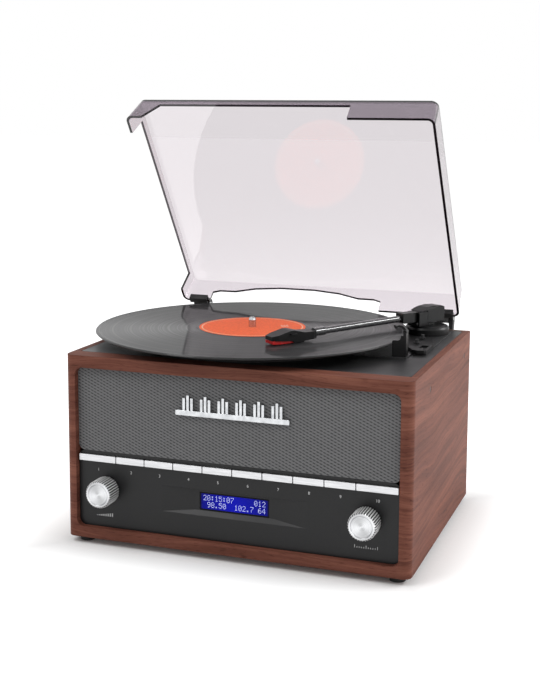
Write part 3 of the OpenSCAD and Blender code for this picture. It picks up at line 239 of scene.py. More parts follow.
def made_piece(name, points, faces, material, body, slot, sharp=35):
    """A piece from its points and faces, smooth but for edges sharper than sharp degrees."""
    mesh = bpy.data.meshes.new(name)
    mesh.from_pydata(points, [], faces)
    mesh.materials.append(material)
    mesh.shade_smooth()
    mesh.set_sharp_from_angle(angle=radians(sharp))
    return seated(name, mesh, body)


def revolved(outline, steps, place, shape):
    """Points and faces of an outline of (radius, height) turned round its own axis.

    place sets the axis in the frame; shape(radius, height, angle) may move a point.
    """
    points, faces = [], []
    for i in range(steps):
        turn = 2 * pi * i / steps
        for radius, height in outline:
            r, h = shape(radius, height, turn)
            points.append(place @ Vector((r * cos(turn) * MM, r * sin(turn) * MM, h * MM)))
    rows = len(outline)
    for i in range(steps):
        k = (i + 1) % steps
        for j in range(rows - 1):
            faces.append((i * rows + j, k * rows + j, k * rows + j + 1, i * rows + j + 1))
    faces.append([i * rows for i in range(steps)][::-1])
    faces.append([i * rows + rows - 1 for i in range(steps)])
    return points, faces


def zinc_plate():
    """Zinc-plated steel: bright bluish metal with faint cloudy passivation."""
    material, tree = finish_named("zinc-plated steel")
    spot = add(tree, "TexCoord")
    cloud = add(tree, "TexNoise", {"Scale": every(1.4), "Detail": 4}, {"Vector": spot.outputs["Object"]})
    tint = add(tree, "ValToRGB", {"stops": [(0.3, "#8f9296"), (0.7, "#c6c9cc")]}, {0: cloud})
    gloss = add(tree, "MapRange", {"To Min": 0.2, "To Max": 0.42}, {"Value": cloud})
    shader = add(tree, "BsdfPrincipled", {"Metallic": 1}, {"Base Color": tint, "Roughness": gloss})
    add(tree, "OutputMaterial", (), {0: shader})
    return material


ZINC = zinc_plate()
BACKWARD = Matrix.Rotation(radians(-90), 4, "X")  # +Z of a turned piece to +Y
FORWARD = Matrix.Rotation(radians(90), 4, "X")  # +Z of a turned piece to -Y

# the cross in a screw's head, in shares of the head's radius: reach, half width and depth
CROSS_REACH, CROSS_HALF, CROSS_DEEP = 0.62, 0.13, 0.3
# the domed head from its rim inwards: shares of the head's radius and of its rise
DOME = [(1, 0.2), (0.93, 0.6), (0.78, 0.85), (0.6, 0.96), (0.45, 1), (0.3, 1), (0.16, 1), (0.08, 1)]


def cross_recess(size):
    """The sunk cross in the head of a screw whose head has that radius."""

    def shape(radius, height, turn):
        aside = min(abs(radius * sin(turn)), abs(radius * cos(turn)))
        sunk = radius < CROSS_REACH * size and aside < CROSS_HALF * size
        return radius, height - (CROSS_DEEP * size if sunk else 0)

    return shape


def screws(name, spots, size):
    """Cross-head screws in the back, with heads of radius size at these spots, as one piece."""
    rise = 0.5 * size
    # each head starts a little inside the face it sits on
    outline = [(0.96 * size, -0.05)] + [(size * out, rise * up) for out, up in DOME]
    points, faces = [], []
    for spot in spots:
        place = Matrix.Translation(Vector(spot) * MM) @ BACKWARD
        more, around = revolved(outline, 48, place, cross_recess(size))
        faces += [[k + len(points) for k in face] for face in around]
        points += more
    made_piece(name, points, faces, ZINC, "cabinet", "steel")


REAR_FACE = box_mm("rear_board")[1].y
BOARD_SCREW_R = 3.3  # radius of the screws' heads
# a row of five along the bottom, one at each side and three along the top
places = [(x, 27) for x in (-140, -70, 0, 70, 140)] + [(x, 100) for x in (-140, 140)]
places += [(x, 158) for x in (-70, 0, 70)]
screws("rear_board_screws", [(x, REAR_FACE, z) for x, z in places], BOARD_SCREW_R)

# ----------------------------------------------------- grille and cloth
# Acoustic cloth of grey and black yarn, stretched over a plastic frame that is
# pressed into the front opening before the speakers.


def speaker_cloth():
    """Woven acoustic cloth: grey twill lines falling to the right over a dark ground."""
    material, tree = finish_named("acoustic cloth, woven twill")
    spot = add(tree, "TexCoord")

    def waves(x_size, z_size):
        # a sine across the cloth, one turn every x_size and z_size mm; 0 means none that way
        turns = [2 * pi * every(size) if size else 0 for size in (x_size, 0, z_size)]
        at = add(tree, "VectorMath", {"operation": "DOT_PRODUCT", 1: turns}, {0: spot.outputs["Object"]})
        return add(tree, "Math", {"operation": "SINE"}, {0: at.outputs["Value"]})

    # gaps along twill lines, 6.2 mm apart across and 2.9 mm up, which crossing lines break into dashes
    gaps = add(tree, "MapRange", {"From Min": -0.4, "From Max": 1}, {"Value": waves(6.2, 2.9)})
    broken = add(tree, "MapRange", {"From Min": -0.8, "From Max": 0.6, "To Min": 0.35, "To Max": 1},
                 {"Value": waves(-6.2, 2.9)})
    dashes = add(tree, "Math", {"operation": "MULTIPLY"}, {0: gaps, 1: broken})
    yarn = add(tree, "Math", {"operation": "SUBTRACT", 0: 1}, {1: dashes})
    # warp threads 1.55 mm apart and weft threads 1.45 mm: about twice the real pitch, so that they show
    crossing = add(tree, "Math", {"operation": "MULTIPLY"}, {0: waves(1.55, 0), 1: waves(0, 1.45)})
    thread = add(tree, "MapRange", {"From Min": -0.7, "From Max": 0.7, "To Min": 0.6, "To Max": 1},
                 {"Value": crossing})
    raised = add(tree, "Math", {"operation": "MULTIPLY"}, {0: yarn, 1: thread})
    slub = add(tree, "TexNoise", {"Scale": every(5), "Detail": 4, "Roughness": 0.7},
               {"Vector": spot.outputs["Object"]})
    varied = add(tree, "Math", {"operation": "MULTIPLY_ADD", 1: 0.3, 2: -0.15}, {0: slub})
    tone = add(tree, "Math", {"operation": "ADD"}, {0: raised, 1: varied})
    greys = [(0.0, "#303031"), (0.45, "#575758"), (0.9, "#767677")]
    tint = add(tree, "ValToRGB", {"stops": greys}, {0: tone})
    relief = add(tree, "Bump", {"Strength": 0.6, "Distance": 0.25 * MM}, {"Height": raised})
    shader = add(tree, "BsdfPrincipled", {"Roughness": 0.9, "IOR": 1.45},
                 {"Base Color": tint, "Normal": relief})
    add(tree, "OutputMaterial", (), {0: shader})
    return material


dress(speaker_cloth(), "grille_cloth")
# the black frame only shows as a thin line round the cloth
MATT_BLACK = moulded("black ABS, matt", "#0d0d0e", "#1a1a1b", 0.6, 0.9, 0.03)
dress(MATT_BLACK, "grille_frame")

# --------------------------------------------------------- loudspeakers
# Pressed-steel baskets in grey paint, with pressed paper cones, behind the cloth.
dress(moulded("grey paint on steel, sprayed", "#2e2e31", "#48484b", 0.4, 0.6, 0.02), "speaker_frames")
# paper pulp: a dull black with soft lumps
dress(moulded("paper pulp cone, pressed", "#161617", "#2b2b2d", 0.8, 0.7, 0.08), "speaker_cones")

# ---------------------------------------------------------------- badge
# A zinc casting, polished and chromium-plated: a bar on two studs that carries
# groups of upright fins.


def chromium():
    """Chromium plate over polished zinc: near-mirror white metal."""
    material, tree = finish_named("chromium plate, polished")
    spot = add(tree, "TexCoord")
    wipe = add(tree, "TexNoise", {"Scale": every(5), "Detail": 5}, {"Vector": spot.outputs["Object"]})
    tint = add(tree, "ValToRGB", {"stops": [(0.3, "#b0b2b5"), (0.7, "#cfd1d3")]}, {0: wipe})
    gloss = add(tree, "MapRange", {"To Min": 0.12, "To Max": 0.26}, {"Value": wipe})
    edge = add(tree, "Bevel", {"samples": 4, "Radius": 0.7 * MM})
    shader = add(tree, "BsdfPrincipled", {"Metallic": 1},
                 {"Base Color": tint, "Roughness": gloss, "Normal": edge})
    add(tree, "OutputMaterial", (), {0: shader})
    return material


CHROME = chromium()
dress(CHROME, "badge")

# -------------------------------------------------------- control panel
# One moulding of black ABS with a channel for the keys and a scoop round the
# display, and white screen-printed numbers and scale marks.
PANEL_FACE = box_mm("front_panel")[0].y
INK_THICK = 0.04  # thicker than a real film of ink, so that it stands clear of the panel

# satin skin: picks up the white room as a soft dark grey
dress(moulded("black ABS panel, satin", "#121213", "#1c1c1d", 0.38, 1.1, 0.02, ior=1.36), "front_panel")


def printed_ink(name, deeper, colour):
    """Printing ink: a flat pale film that is a little thinner and deeper in spots."""
    material, tree = finish_named(name)
    spot = add(tree, "TexCoord")
    film = add(tree, "TexNoise", {"Scale": every(0.8)}, {"Vector": spot.outputs["Object"]})
    tint = add(tree, "ValToRGB", {"stops": [(0.35, deeper), (0.6, colour)]}, {0: film})
    shader = add(tree, "BsdfPrincipled", {"Roughness": 0.55, "IOR": 1.5}, {"Base Color": tint})
    add(tree, "OutputMaterial", (), {0: shader})
    return material


WHITE_INK = printed_ink("white ink, screen-printed", "#b6b6b6", "#d4d4d4")


def printed_bars(spots):
    """Points and faces of blocks of ink on the panel's face, each given as (x0, x1, z0, z1)."""
    points, faces = [], []
    for x0, x1, z0, z1 in spots:
        k = len(points)
        for y in (PANEL_FACE + 0.01, PANEL_FACE - INK_THICK):
            points += [Vector((x, y, z)) * MM for x, z in ((x0, z0), (x1, z0), (x1, z1), (x0, z1))]
        faces += [(k, k + 3, k + 2, k + 1), (k + 4, k + 5, k + 6, k + 7)]
        faces += [(k + i, k + (i + 1) % 4, k + 4 + (i + 1) % 4, k + 4 + i) for i in range(4)]
    return points, faces


def printed_number(name, text, height, place, material, body):
    """A number printed flat: text of that height, facing +Z of place."""
    curve = bpy.data.curves.new(name, "FONT")
    curve.body, curve.align_x, curve.align_y = text, "CENTER", "CENTER"
    # a digit is 0.7 of the font's size high, and extrude is half the thickness
    curve.size, curve.extrude = height / 0.7 * MM, INK_THICK / 2 * MM
    draft = bpy.data.objects.new(name + "_draft", curve)
    bpy.context.scene.collection.objects.link(draft)
    bpy.context.view_layer.update()
    mesh = bpy.data.meshes.new_from_object(draft.evaluated_get(bpy.context.evaluated_depsgraph_get()))
    bpy.data.objects.remove(draft)
    bpy.data.curves.remove(curve)
    mesh.transform(place)
    mesh.materials.clear()
    mesh.materials.append(material)
    seated(name, mesh, body)


KEYS = [f"key_{i}" for i in range(1, 11)]
NUMBER_HEIGHT, NUMBER_DROP = 2.6, 10.9  # the drop is from the middle of the keys
for i, key in enumerate(KEYS, 1):
    middle = middle_mm(key)
    spot = Vector((middle.x, PANEL_FACE - INK_THICK / 2, middle.z - NUMBER_DROP))
    printed_number(f"key_number_{i}", str(i), NUMBER_HEIGHT, Matrix.Translation(spot * MM) @ FORWARD,
                   WHITE_INK, "cabinet")

KNOB_X, KNOB_Z = middle_mm("tune_knob").x, middle_mm("tune_knob").z
MARKS_IN = 11  # both rows of marks start this far to the left of their knob
# nine rising bars under the volume knob
BAR_PITCH, BAR_W, BAR_FOOT, BAR_H, BAR_RISE = 1.9, 0.8, 26.3, 0.7, 0.32
rising = []
for i in range(9):
    left = -KNOB_X - MARKS_IN + i * BAR_PITCH
    rising.append((left, left + BAR_W, BAR_FOOT, BAR_FOOT + BAR_H + i * BAR_RISE))
made_piece("volume_marks", *printed_bars(rising), WHITE_INK, "cabinet", "panel_plastic")
# a plain scale of eleven lines under the other knob, every fifth one longer
LINE_PITCH, LINE_W, LINE_FOOT, LINE_H, LINE_LONGER = 2, 0.4, 26.8, 1.4, 1.3
scale = []
for i in range(11):
    left = KNOB_X - MARKS_IN + i * LINE_PITCH
    scale.append((left, left + LINE_W, LINE_FOOT, LINE_FOOT + LINE_H + (LINE_LONGER if i % 5 == 0 else 0)))
made_piece("tuning_marks", *printed_bars(scale), WHITE_INK, "cabinet", "panel_plastic")

# ----------------------------------------------------------------- keys
# Ten bar keys of aluminium, brushed along their length, anodised and snapped
# through the panel on plastic stems.


def brushed_aluminium():
    """Aluminium, brushed lengthwise and anodised: near-white with fine lines."""
    material, tree = finish_named("aluminium, brushed and anodised")
    spot = add(tree, "TexCoord")
    # brush lines 14 mm long; really 0.05 mm wide, drawn 0.5 mm wide so that they show
    brushed = (every(14), every(14), every(0.5))
    line_at = add(tree, "VectorMath", {"operation": "MULTIPLY", 1: brushed}, {0: spot.outputs["Object"]})
    line = add(tree, "TexNoise", {"Scale": 1, "Detail": 3}, {"Vector": line_at})
    tint = add(tree, "ValToRGB", {"stops": [(0.3, "#bebfc1"), (0.7, "#d8d8da")]}, {0: line})
    gloss = add(tree, "MapRange", {"To Min": 0.3, "To Max": 0.45}, {"Value": line})
    edge = add(tree, "Bevel", {"samples": 4, "Radius": 0.35 * MM})
    relief = add(tree, "Bump", {"Strength": 0.3, "Distance": 0.02 * MM}, {"Height": line, "Normal": edge})
    shader = add(tree, "BsdfPrincipled", {"Metallic": 1},
                 {"Base Color": tint, "Roughness": gloss, "Normal": relief})
    add(tree, "OutputMaterial", (), {0: shader})
    return material


dress(brushed_aluminium(), *KEYS)

# -------------------------------------------------------------- display
# A two-line character display: a blue backlight behind glass in a black bezel,
# on its own board. The lit dots lie in cells of five by seven.
DISPLAY_Z = middle_mm("lcd_glass").z
DOTS_FACE = box_mm("lcd_glass")[0].y - 0.03  # the dots lie just in front of the glass
WINDOW_HALF, WINDOW_FADE = 6.7, 0.4  # half height of the blue window, and the soft edge outside it


def backlit_glass():
    """Backlit display glass: deep blue light inside a black printed border."""
    material, tree = finish_named("display glass, blue backlight")
    spot = add(tree, "TexCoord")
    at = add(tree, "SeparateXYZ", (), {0: spot.outputs["Object"]})
    # the backlight fades to both sides and ends 30 to 32 mm from the middle, at 0.8 to 0.86 of 37.5 mm
    away = add(tree, "Math", {"operation": "ABSOLUTE"}, {0: at.outputs["X"]})
    part = add(tree, "Math", {"operation": "MULTIPLY", 1: every(37.5)}, {0: away})
    blues = [(0.0, "#070e9c"), (0.8, "#040974"), (0.86, "#050508")]
    blue = add(tree, "ValToRGB", {"stops": blues}, {0: part})
    level = add(tree, "Math", {"operation": "SUBTRACT", 1: DISPLAY_Z * MM}, {0: at.outputs["Z"]})
    rise = add(tree, "Math", {"operation": "ABSOLUTE"}, {0: level})
    inside = add(tree, "MapRange", {"From Min": WINDOW_HALF * MM, "To Min": 1, "To Max": 0,
                                    "From Max": (WINDOW_HALF + WINDOW_FADE) * MM}, {"Value": rise})
    shown = add(tree, "Mix", {"data_type": "RGBA", 6: linear("#050508")}, {0: inside, 7: blue})
    dust = add(tree, "TexNoise", {"Scale": every(0.6), "Detail": 1}, {"Vector": spot.outputs["Object"]})
    gloss = add(tree, "MapRange", {"To Min": 0.12, "To Max": 0.2}, {"Value": dust})
    shader = add(tree, "BsdfPrincipled", {"IOR": 1.5, "Specular IOR Level": 0.08, "Emission Strength": 0.5},
                 {"Base Color": shown.outputs[2], "Emission Color": shown.outputs[2], "Roughness": gloss})
    add(tree, "OutputMaterial", (), {0: shader})
    return material


def lit_dots():
    """Lit liquid-crystal dots: pale bluish white light."""
    material, tree = finish_named("display dots, lit")
    spot = add(tree, "TexCoord")
    glow = add(tree, "TexNoise", {"Scale": every(4)}, {"Vector": spot.outputs["Object"]})
    tint = add(tree, "ValToRGB", {"stops": [(0.3, "#b4bffa"), (0.7, "#dde2ff")]}, {0: glow})
    shader = add(tree, "BsdfPrincipled", {"Roughness": 0.4, "IOR": 1.5, "Emission Strength": 0.6},
                 {"Base Color": tint, "Emission Color": tint})
    add(tree, "OutputMaterial", (), {0: shader})
    return material


dress(backlit_glass(), "lcd_glass")
dress(MATT_BLACK, "lcd_module")

# the seven rows of each sign that is shown, top first; in binary, a row's ones are its lit dots
SIGNS = {
    "0": (14, 17, 19, 21, 25, 17, 14), "1": (4, 12, 4, 4, 4, 4, 14), "2": (14, 17, 1, 2, 4, 8, 31),
    "4": (2, 6, 10, 18, 31, 2, 2), "5": (31, 16, 30, 1, 1, 17, 14), "6": (6, 8, 16, 30, 17, 17, 14),
    "7": (31, 1, 2, 4, 8, 8, 8), "8": (14, 17, 17, 14, 17, 17, 14), "9": (14, 17, 17, 15, 1, 2, 12),
    ":": (0, 12, 12, 0, 12, 12, 0), ".": (0, 0, 0, 0, 0, 12, 12), " ": (0, 0, 0, 0, 0, 0, 0),
}
LINES = ["20:15:07     012", " 98.50  102.7 64"]
CELL_W, CELL_H = 3.7, 6.1
DOT_W, DOT_H, DOT_PITCH_X, DOT_PITCH_Z = 0.42, 0.5, 0.62, 0.72
DOTS_IN, DOTS_UP = 0.3, 2.6  # a cell's first dot, from the cell's left side and from its middle


def display_dots():
    """The two lines of numbers as separate thin dots in front of the glass."""
    points, faces = [], []
    for row, text in enumerate(LINES):
        for column, sign in enumerate(text):
            left = (column - len(text) / 2) * CELL_W + DOTS_IN
            top = DISPLAY_Z + (0.5 - row) * CELL_H + DOTS_UP
            for k, bits in enumerate(SIGNS[sign]):
                for j in range(5):
                    if bits >> (4 - j) & 1:
                        x, z, n = left + j * DOT_PITCH_X, top - k * DOT_PITCH_Z, len(points)
                        corners = ((x, z), (x + DOT_W, z), (x + DOT_W, z - DOT_H), (x, z - DOT_H))
                        points += [Vector((across, DOTS_FACE, up)) * MM for across, up in corners]
                        faces.append((n + 3, n + 2, n + 1, n))
    return points, faces


made_piece("display_dots", *display_dots(), lit_dots(), "cabinet", "display")

# ---------------------------------------------- boards behind the panel
# The control board carries a tactile switch for each key and two encoders, and
# the main board under the deck the radio can, the amplifier and its cooler.


def circuit_board():
    """Glass-epoxy board under green solder mask, with paler copper tracks."""
    material, tree = finish_named("glass-epoxy board, green mask")
    spot = add(tree, "TexCoord")
    tracks = add(tree, "TexVoronoi", {"Scale": every(7), "distance": "MANHATTAN"},
                 {"Vector": spot.outputs["Object"]})
    tint = add(tree, "ValToRGB", {"stops": [(0.3, "#123f27"), (0.42, "#2a7048")]}, {0: tracks})
    shader = add(tree, "BsdfPrincipled", {"Roughness": 0.35, "IOR": 1.5}, {"Base Color": tint})
    add(tree, "OutputMaterial", (), {0: shader})
    return material


dress(circuit_board(), "control_board", "main_board")
dress(moulded("grey nylon switches, moulded", "#26282b", "#3d4044", 0.5, 0.6, 0.02), "panel_controls")

# ---------------------------------------------------------------- knobs
# Turned aluminium knobs on steel shafts: flutes round the side, a bevelled rim,
# a groove and a face finished on the lathe. The right one also clicks in.
knob_low, knob_high = box_mm("tune_knob")
KNOB_R = (knob_high.x - knob_low.x) / 2
KNOB_BACK, KNOB_LEN = knob_high.y, knob_high.y - knob_low.y
FLUTES, FLUTE_DEPTH, FLUTE_STEPS = 34, 1.1, 8
FLUTED_RIM = 1.6  # how far in from the side the flutes fade out


def lathe_aluminium():
    """Lathe-turned aluminium: bright, with rings, and painted highlights and shade in two pairs of opposite
    fans.
    """
    material, tree = finish_named("aluminium, turned on the lathe")
    spot = add(tree, "TexCoord")
    at = add(tree, "SeparateXYZ", (), {0: spot.outputs["Generated"]})
    # distance from the axis, from the middle of the piece's own box
    across = add(tree, "Math", {"operation": "SUBTRACT", 1: 0.5}, {0: at.outputs["X"]})
    up = add(tree, "Math", {"operation": "SUBTRACT", 1: 0.5}, {0: at.outputs["Z"]})
    side = add(tree, "CombineXYZ", {"Y": 0}, {"X": across, "Z": up})
    away = add(tree, "VectorMath", {"operation": "LENGTH"}, {0: side})
    # tool marks really 0.1 mm apart, drawn 0.55 mm apart so that they show
    rings = add(tree, "Math", {"operation": "MULTIPLY", 1: 2 * KNOB_R / 0.55}, {0: away.outputs["Value"]})
    mark = add(tree, "TexNoise", {"noise_dimensions": "1D", "Scale": 1}, {"W": rings})
    ringed = add(tree, "ValToRGB", {"stops": [(0.3, "#b8b9bc"), (0.7, "#ecedee")]}, {0: mark})
    # painted highlight and shade: two pairs of opposite light and dark fans are painted into the colour by
    # the angle round the axis, where the rings would throw the light
    angle = add(tree, "Math", {"operation": "ARCTAN2"}, {0: up, 1: across})
    painted_fan_lobes = add(tree, "Math", {"operation": "MULTIPLY_ADD", 1: 2, 2: 0.6}, {0: angle})
    painted_fan = add(tree, "Math", {"operation": "SINE"}, {0: painted_fan_lobes})
    shade = add(tree, "MapRange", {"From Min": -1, "To Min": 0.66}, {"Value": painted_fan})
    tint = add(tree, "MixRGB", {"blend_type": "MULTIPLY", 0: 1}, {1: ringed, 2: shade})
    turn = add(tree, "Tangent", {"direction_type": "RADIAL", "axis": "Y"})
    relief = add(tree, "Bump", {"Strength": 0.25, "Distance": 0.03 * MM}, {"Height": mark})
    shader = add(tree, "BsdfPrincipled", {"Metallic": 1, "Roughness": 0.3, "Anisotropic": 0.85,
                                          "Anisotropic Rotation": 0.25},
                 {"Base Color": tint, "Normal": relief, "Tangent": turn})
    add(tree, "OutputMaterial", (), {0: shader})
    return material


LATHE = lathe_aluminium()


def milled_aluminium():
    """Milled and anodised aluminium: satin, with painted shade down in the flutes and a painted highlight on
    the ribs.
    """
    material, tree = finish_named("aluminium, milled and anodised")
    spot = add(tree, "TexCoord")
    grain = add(tree, "TexNoise", {"Scale": every(0.7), "Detail": 3}, {"Vector": spot.outputs["Object"]})
    at = add(tree, "VectorMath", {"operation": "SUBTRACT", 1: (0.5, 0.5, 0.5)},
             {0: spot.outputs["Generated"]})
    side = add(tree, "VectorMath", {"operation": "MULTIPLY", 1: (2 * KNOB_R, 0, 2 * KNOB_R)}, {0: at})
    away = add(tree, "VectorMath", {"operation": "LENGTH"}, {0: side})
    rise = add(tree, "MapRange", {"From Min": KNOB_R - FLUTE_DEPTH, "From Max": KNOB_R},
               {"Value": away.outputs["Value"]})
    # painted shade and highlight: the colour goes from near black at the bottom of the flutes to white on the
    # ribs between them
    flute_shade_and_highlight = [(0.0, "#141415"), (0.35, "#6d6e70"), (0.7, "#ffffff")]
    sunk = add(tree, "ValToRGB", {"stops": flute_shade_and_highlight}, {0: rise})
    shade = add(tree, "ValToRGB", {"stops": [(0.3, "#e0e0e0"), (0.7, "#ffffff")]}, {0: grain})
    tint = add(tree, "MixRGB", {"blend_type": "MULTIPLY", 0: 1}, {1: sunk, 2: shade})
    gloss = add(tree, "MapRange", {"To Min": 0.26, "To Max": 0.4}, {"Value": grain})
    shader = add(tree, "BsdfPrincipled", {"Metallic": 0.3}, {"Base Color": tint, "Roughness": gloss})
    add(tree, "OutputMaterial", (), {0: shader})
    return material


MILLED = milled_aluminium()


def fluted(radius, height, turn):
    """Cuts the flutes into the side of the knob, and leaves its face round."""
    if radius < KNOB_R - FLUTED_RIM:
        return radius, height
    # the power makes the flutes a little wider than the ribs between them
    depth = FLUTE_DEPTH * (0.5 - 0.5 * cos(FLUTES * turn)) ** 0.8
    return radius - depth * (radius - KNOB_R + FLUTED_RIM) / FLUTED_RIM, height


def knob(name, x, body, node):
    """A fluted knob that stands for the plain turned one."""
    # hub recess, back edge, side, bevelled rim, flat ring, groove, and the dished face
    outline = [(7.9, 2.6), (7.9, 0), (KNOB_R - 0.8, 0), (KNOB_R - 0.25, 0.3), (KNOB_R, 0.9),
               (KNOB_R, KNOB_LEN - 1.5), (KNOB_R - 0.5, KNOB_LEN - 0.75), (KNOB_R - 1.5, KNOB_LEN),
               (KNOB_R - 2.9, KNOB_LEN), (KNOB_R - 3.3, KNOB_LEN - 0.55), (KNOB_R - 3.7, KNOB_LEN - 0.55),
               (KNOB_R - 4.0, KNOB_LEN - 0.25), (KNOB_R - 6, KNOB_LEN - 0.4), (4, KNOB_LEN - 0.6),
               (0.3, KNOB_LEN - 0.7)]
    place = Matrix.Translation(Vector((x, KNOB_BACK, KNOB_Z)) * MM) @ FORWARD
    points, faces = revolved(outline, FLUTES * FLUTE_STEPS, place, fluted)
    piece = made_piece(name, points, faces, LATHE, body, "aluminium", 32)
    # the flutes are milled, and all the rest keeps the lathe's finish
    piece.data.materials.append(MILLED)
    for face in piece.data.polygons:
        out = Vector((face.center.x - x * MM, face.center.z - KNOB_Z * MM)).length
        if out > (KNOB_R - FLUTE_DEPTH - 0.2) * MM and abs(face.normal.y) < 0.5:
            face.material_index = 1
    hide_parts(node)


knob("volume_knob_turned", -KNOB_X, "volume", "volume_knob")
knob("tune_knob_turned", KNOB_X, "tune", "tune_knob")


def turned_metal(name, colour, paler, roughness):
    """Bright turned metal with fine uneven tool marks."""
    material, tree = finish_named(name)
    spot = add(tree, "TexCoord")
    mark = add(tree, "TexNoise", {"Scale": every(0.9), "Detail": 4}, {"Vector": spot.outputs["Object"]})
    tint = add(tree, "ValToRGB", {"stops": [(0.3, colour), (0.7, paler)]}, {0: mark})
    gloss = add(tree, "MapRange", {"To Min": roughness, "To Max": roughness + 0.12}, {"Value": mark})
    shader = add(tree, "BsdfPrincipled", {"Metallic": 1}, {"Base Color": tint, "Roughness": gloss})
    add(tree, "OutputMaterial", (), {0: shader})
    return material


STEEL = turned_metal("steel, turned bright", "#a7a9ab", "#d2d3d5", 0.1)
dress(STEEL, "volume_shaft", "tune_shaft")

# ----------------------------------------------------- rear connections
# A moulded plate in the back carries two bright-plated line sockets, the aux
# jack and the mains adaptor's jack.
dress(MATT_BLACK, "terminal_plate", "aux_jack", "power_jack")
dress(CHROME, "line_out_jacks")
plate_low, plate_high = box_mm("terminal_plate")
PLATE_SCREW_R = 2.2
SCREW_IN_X, SCREW_IN_Z = 3.6, 3.5  # from the plate's edges to the middle of its screws
columns = (plate_low.x + SCREW_IN_X, plate_high.x - SCREW_IN_X)
levels = (plate_low.z + SCREW_IN_Z, plate_high.z - SCREW_IN_Z)
screws("terminal_plate_screws", [(x, plate_high.y, z) for x in columns for z in levels], PLATE_SCREW_R)

# ------------------------------------------------------------- top deck
# A sheet of black ABS let into the case, with the turntable's own chassis plate
# on it. Both have the same satin grain.
DECK_BLACK = moulded("black ABS deck, satin", "#121213", "#1c1c1d", 0.42, 1.2, 0.03)
dress(DECK_BLACK, "deck", "chassis_plate")

# ---------------------------------------------- platter, motor, bearing
# A pressed and painted steel platter on a brass bearing, a thin rubber mat, and
# a small motor with a brass pulley that drives the belt.
dress(moulded("grey paint on pressed steel", "#2c2d2f", "#424345", 0.35, 0.8, 0.02), "platter")
dress(moulded("rubber mat, ribbed", "#0e0e0e", "#191919", 0.7, 0.8, 0.1), "mat")
dress(RUBBER, "belt")
dress(STEEL, "spindle", "motor")
dress(turned_metal("brass, turned", "#9a7833", "#c9a65a", 0.2), "bearing", "pulley")

# --------------------------------------------------------------- record
# A pressed vinyl long-playing record: bands of fine grooves with smooth gaps
# between the tracks, a raised bead at the edge, and a printed paper label.
SPINDLE = middle_mm("spindle")
LABEL_HIGH = box_mm("record_label")[1]
LABEL_R = LABEL_HIGH.x - SPINDLE.x


def from_spindle(tree, spot):
    """The distance from the spindle's axis, in metres."""
    from_middle = add(tree, "VectorMath", {"operation": "SUBTRACT", 1: SPINDLE * MM},
                      {0: spot.outputs["Object"]})
    flat = add(tree, "VectorMath", {"operation": "MULTIPLY", 1: (1, 1, 0)}, {0: from_middle})
    return add(tree, "VectorMath", {"operation": "LENGTH"}, {0: flat}).outputs["Value"]


def grooved_vinyl():
    """Grooved vinyl: groove walls that streak the light, under the mirror of their smooth tops, and painted
    sheen on the loud rings and the smooth gaps.
    """
    material, tree = finish_named("vinyl, pressed grooves")
    spot = add(tree, "TexCoord")
    away = from_spindle(tree, spot)
    # grooves really 0.12 mm apart; their loud and quiet rings are drawn about 2.4 mm wide
    loud_at = add(tree, "Math", {"operation": "MULTIPLY", 1: every(2.4)}, {0: away})
    loud = add(tree, "TexNoise", {"noise_dimensions": "1D", "Scale": 1, "Detail": 4, "Roughness": 0.7},
               {"W": loud_at})
    # five tracks, so a smooth gap every 18 mm
    track = add(tree, "Math", {"operation": "PINGPONG", 1: 9 * MM}, {0: away})
    gap = add(tree, "MapRange", {"From Min": 0.3 * MM, "From Max": 1.1 * MM, "To Min": 0.3, "To Max": 0},
              {"Value": track})
    ring = add(tree, "Math", {"operation": "ADD"}, {0: loud, 1: gap})
    # painted sheen: the loud rings and the smooth gaps are painted grey over the black vinyl, for the light
    # that the groove bands throw back
    vinyl_black_and_painted_sheen = [(0.35, "#030304"), (0.55, "#1b1b1c"), (0.85, "#4c4c4e")]
    tint = add(tree, "ValToRGB", {"stops": vinyl_black_and_painted_sheen}, {0: ring})
    rough = add(tree, "MapRange", {"From Min": 0.3, "From Max": 0.7, "To Min": 0.42, "To Max": 0.62},
                {"Value": ring})
    turn = add(tree, "Tangent", {"direction_type": "RADIAL", "axis": "Z"})
    relief = add(tree, "Bump", {"Strength": 0.5, "Distance": 0.08 * MM}, {"Height": loud})
    shader = add(tree, "BsdfPrincipled", {"IOR": 1.53, "Specular IOR Level": 0.3,
                                          "Anisotropic": 0.9, "Anisotropic Rotation": 0.25,
                                          "Coat Weight": 0.28, "Coat Roughness": 0.06},
                 {"Base Color": tint, "Roughness": rough, "Normal": relief, "Tangent": turn})
    add(tree, "OutputMaterial", (), {0: shader})
    return material


def label_paper():
    """Orange label paper, pressed into the vinyl: matt, with one pale ring near its edge."""
    material, tree = finish_named("label paper, printed orange")
    spot = add(tree, "TexCoord")
    away = from_spindle(tree, spot)
    part = add(tree, "Math", {"operation": "MULTIPLY", 1: every(LABEL_R)}, {0: away})
    print_ring = add(tree, "ValToRGB", {"interpolation": "CONSTANT", "stops": [
        (0.0, "#fb6629"), (0.93, "#f7c3a6"), (0.955, "#fb6629")]}, {0: part})
    fibre = add(tree, "TexNoise", {"Scale": every(2.2), "Detail": 6, "Roughness": 0.7},
                {"Vector": spot.outputs["Object"]})
    shade = add(tree, "ValToRGB", {"stops": [(0.3, "#d8d8d8"), (0.7, "#ffffff")]}, {0: fibre})
    tint = add(tree, "MixRGB", {"blend_type": "MULTIPLY", 0: 1}, {1: print_ring, 2: shade})
    relief = add(tree, "Bump", {"Strength": 0.4, "Distance": 0.05 * MM}, {"Height": fibre})
    shader = add(tree, "BsdfPrincipled", {"Roughness": 0.5, "IOR": 1.5, "Specular IOR Level": 0.2},
                 {"Base Color": tint, "Normal": relief})
    add(tree, "OutputMaterial", (), {0: shader})
    return material


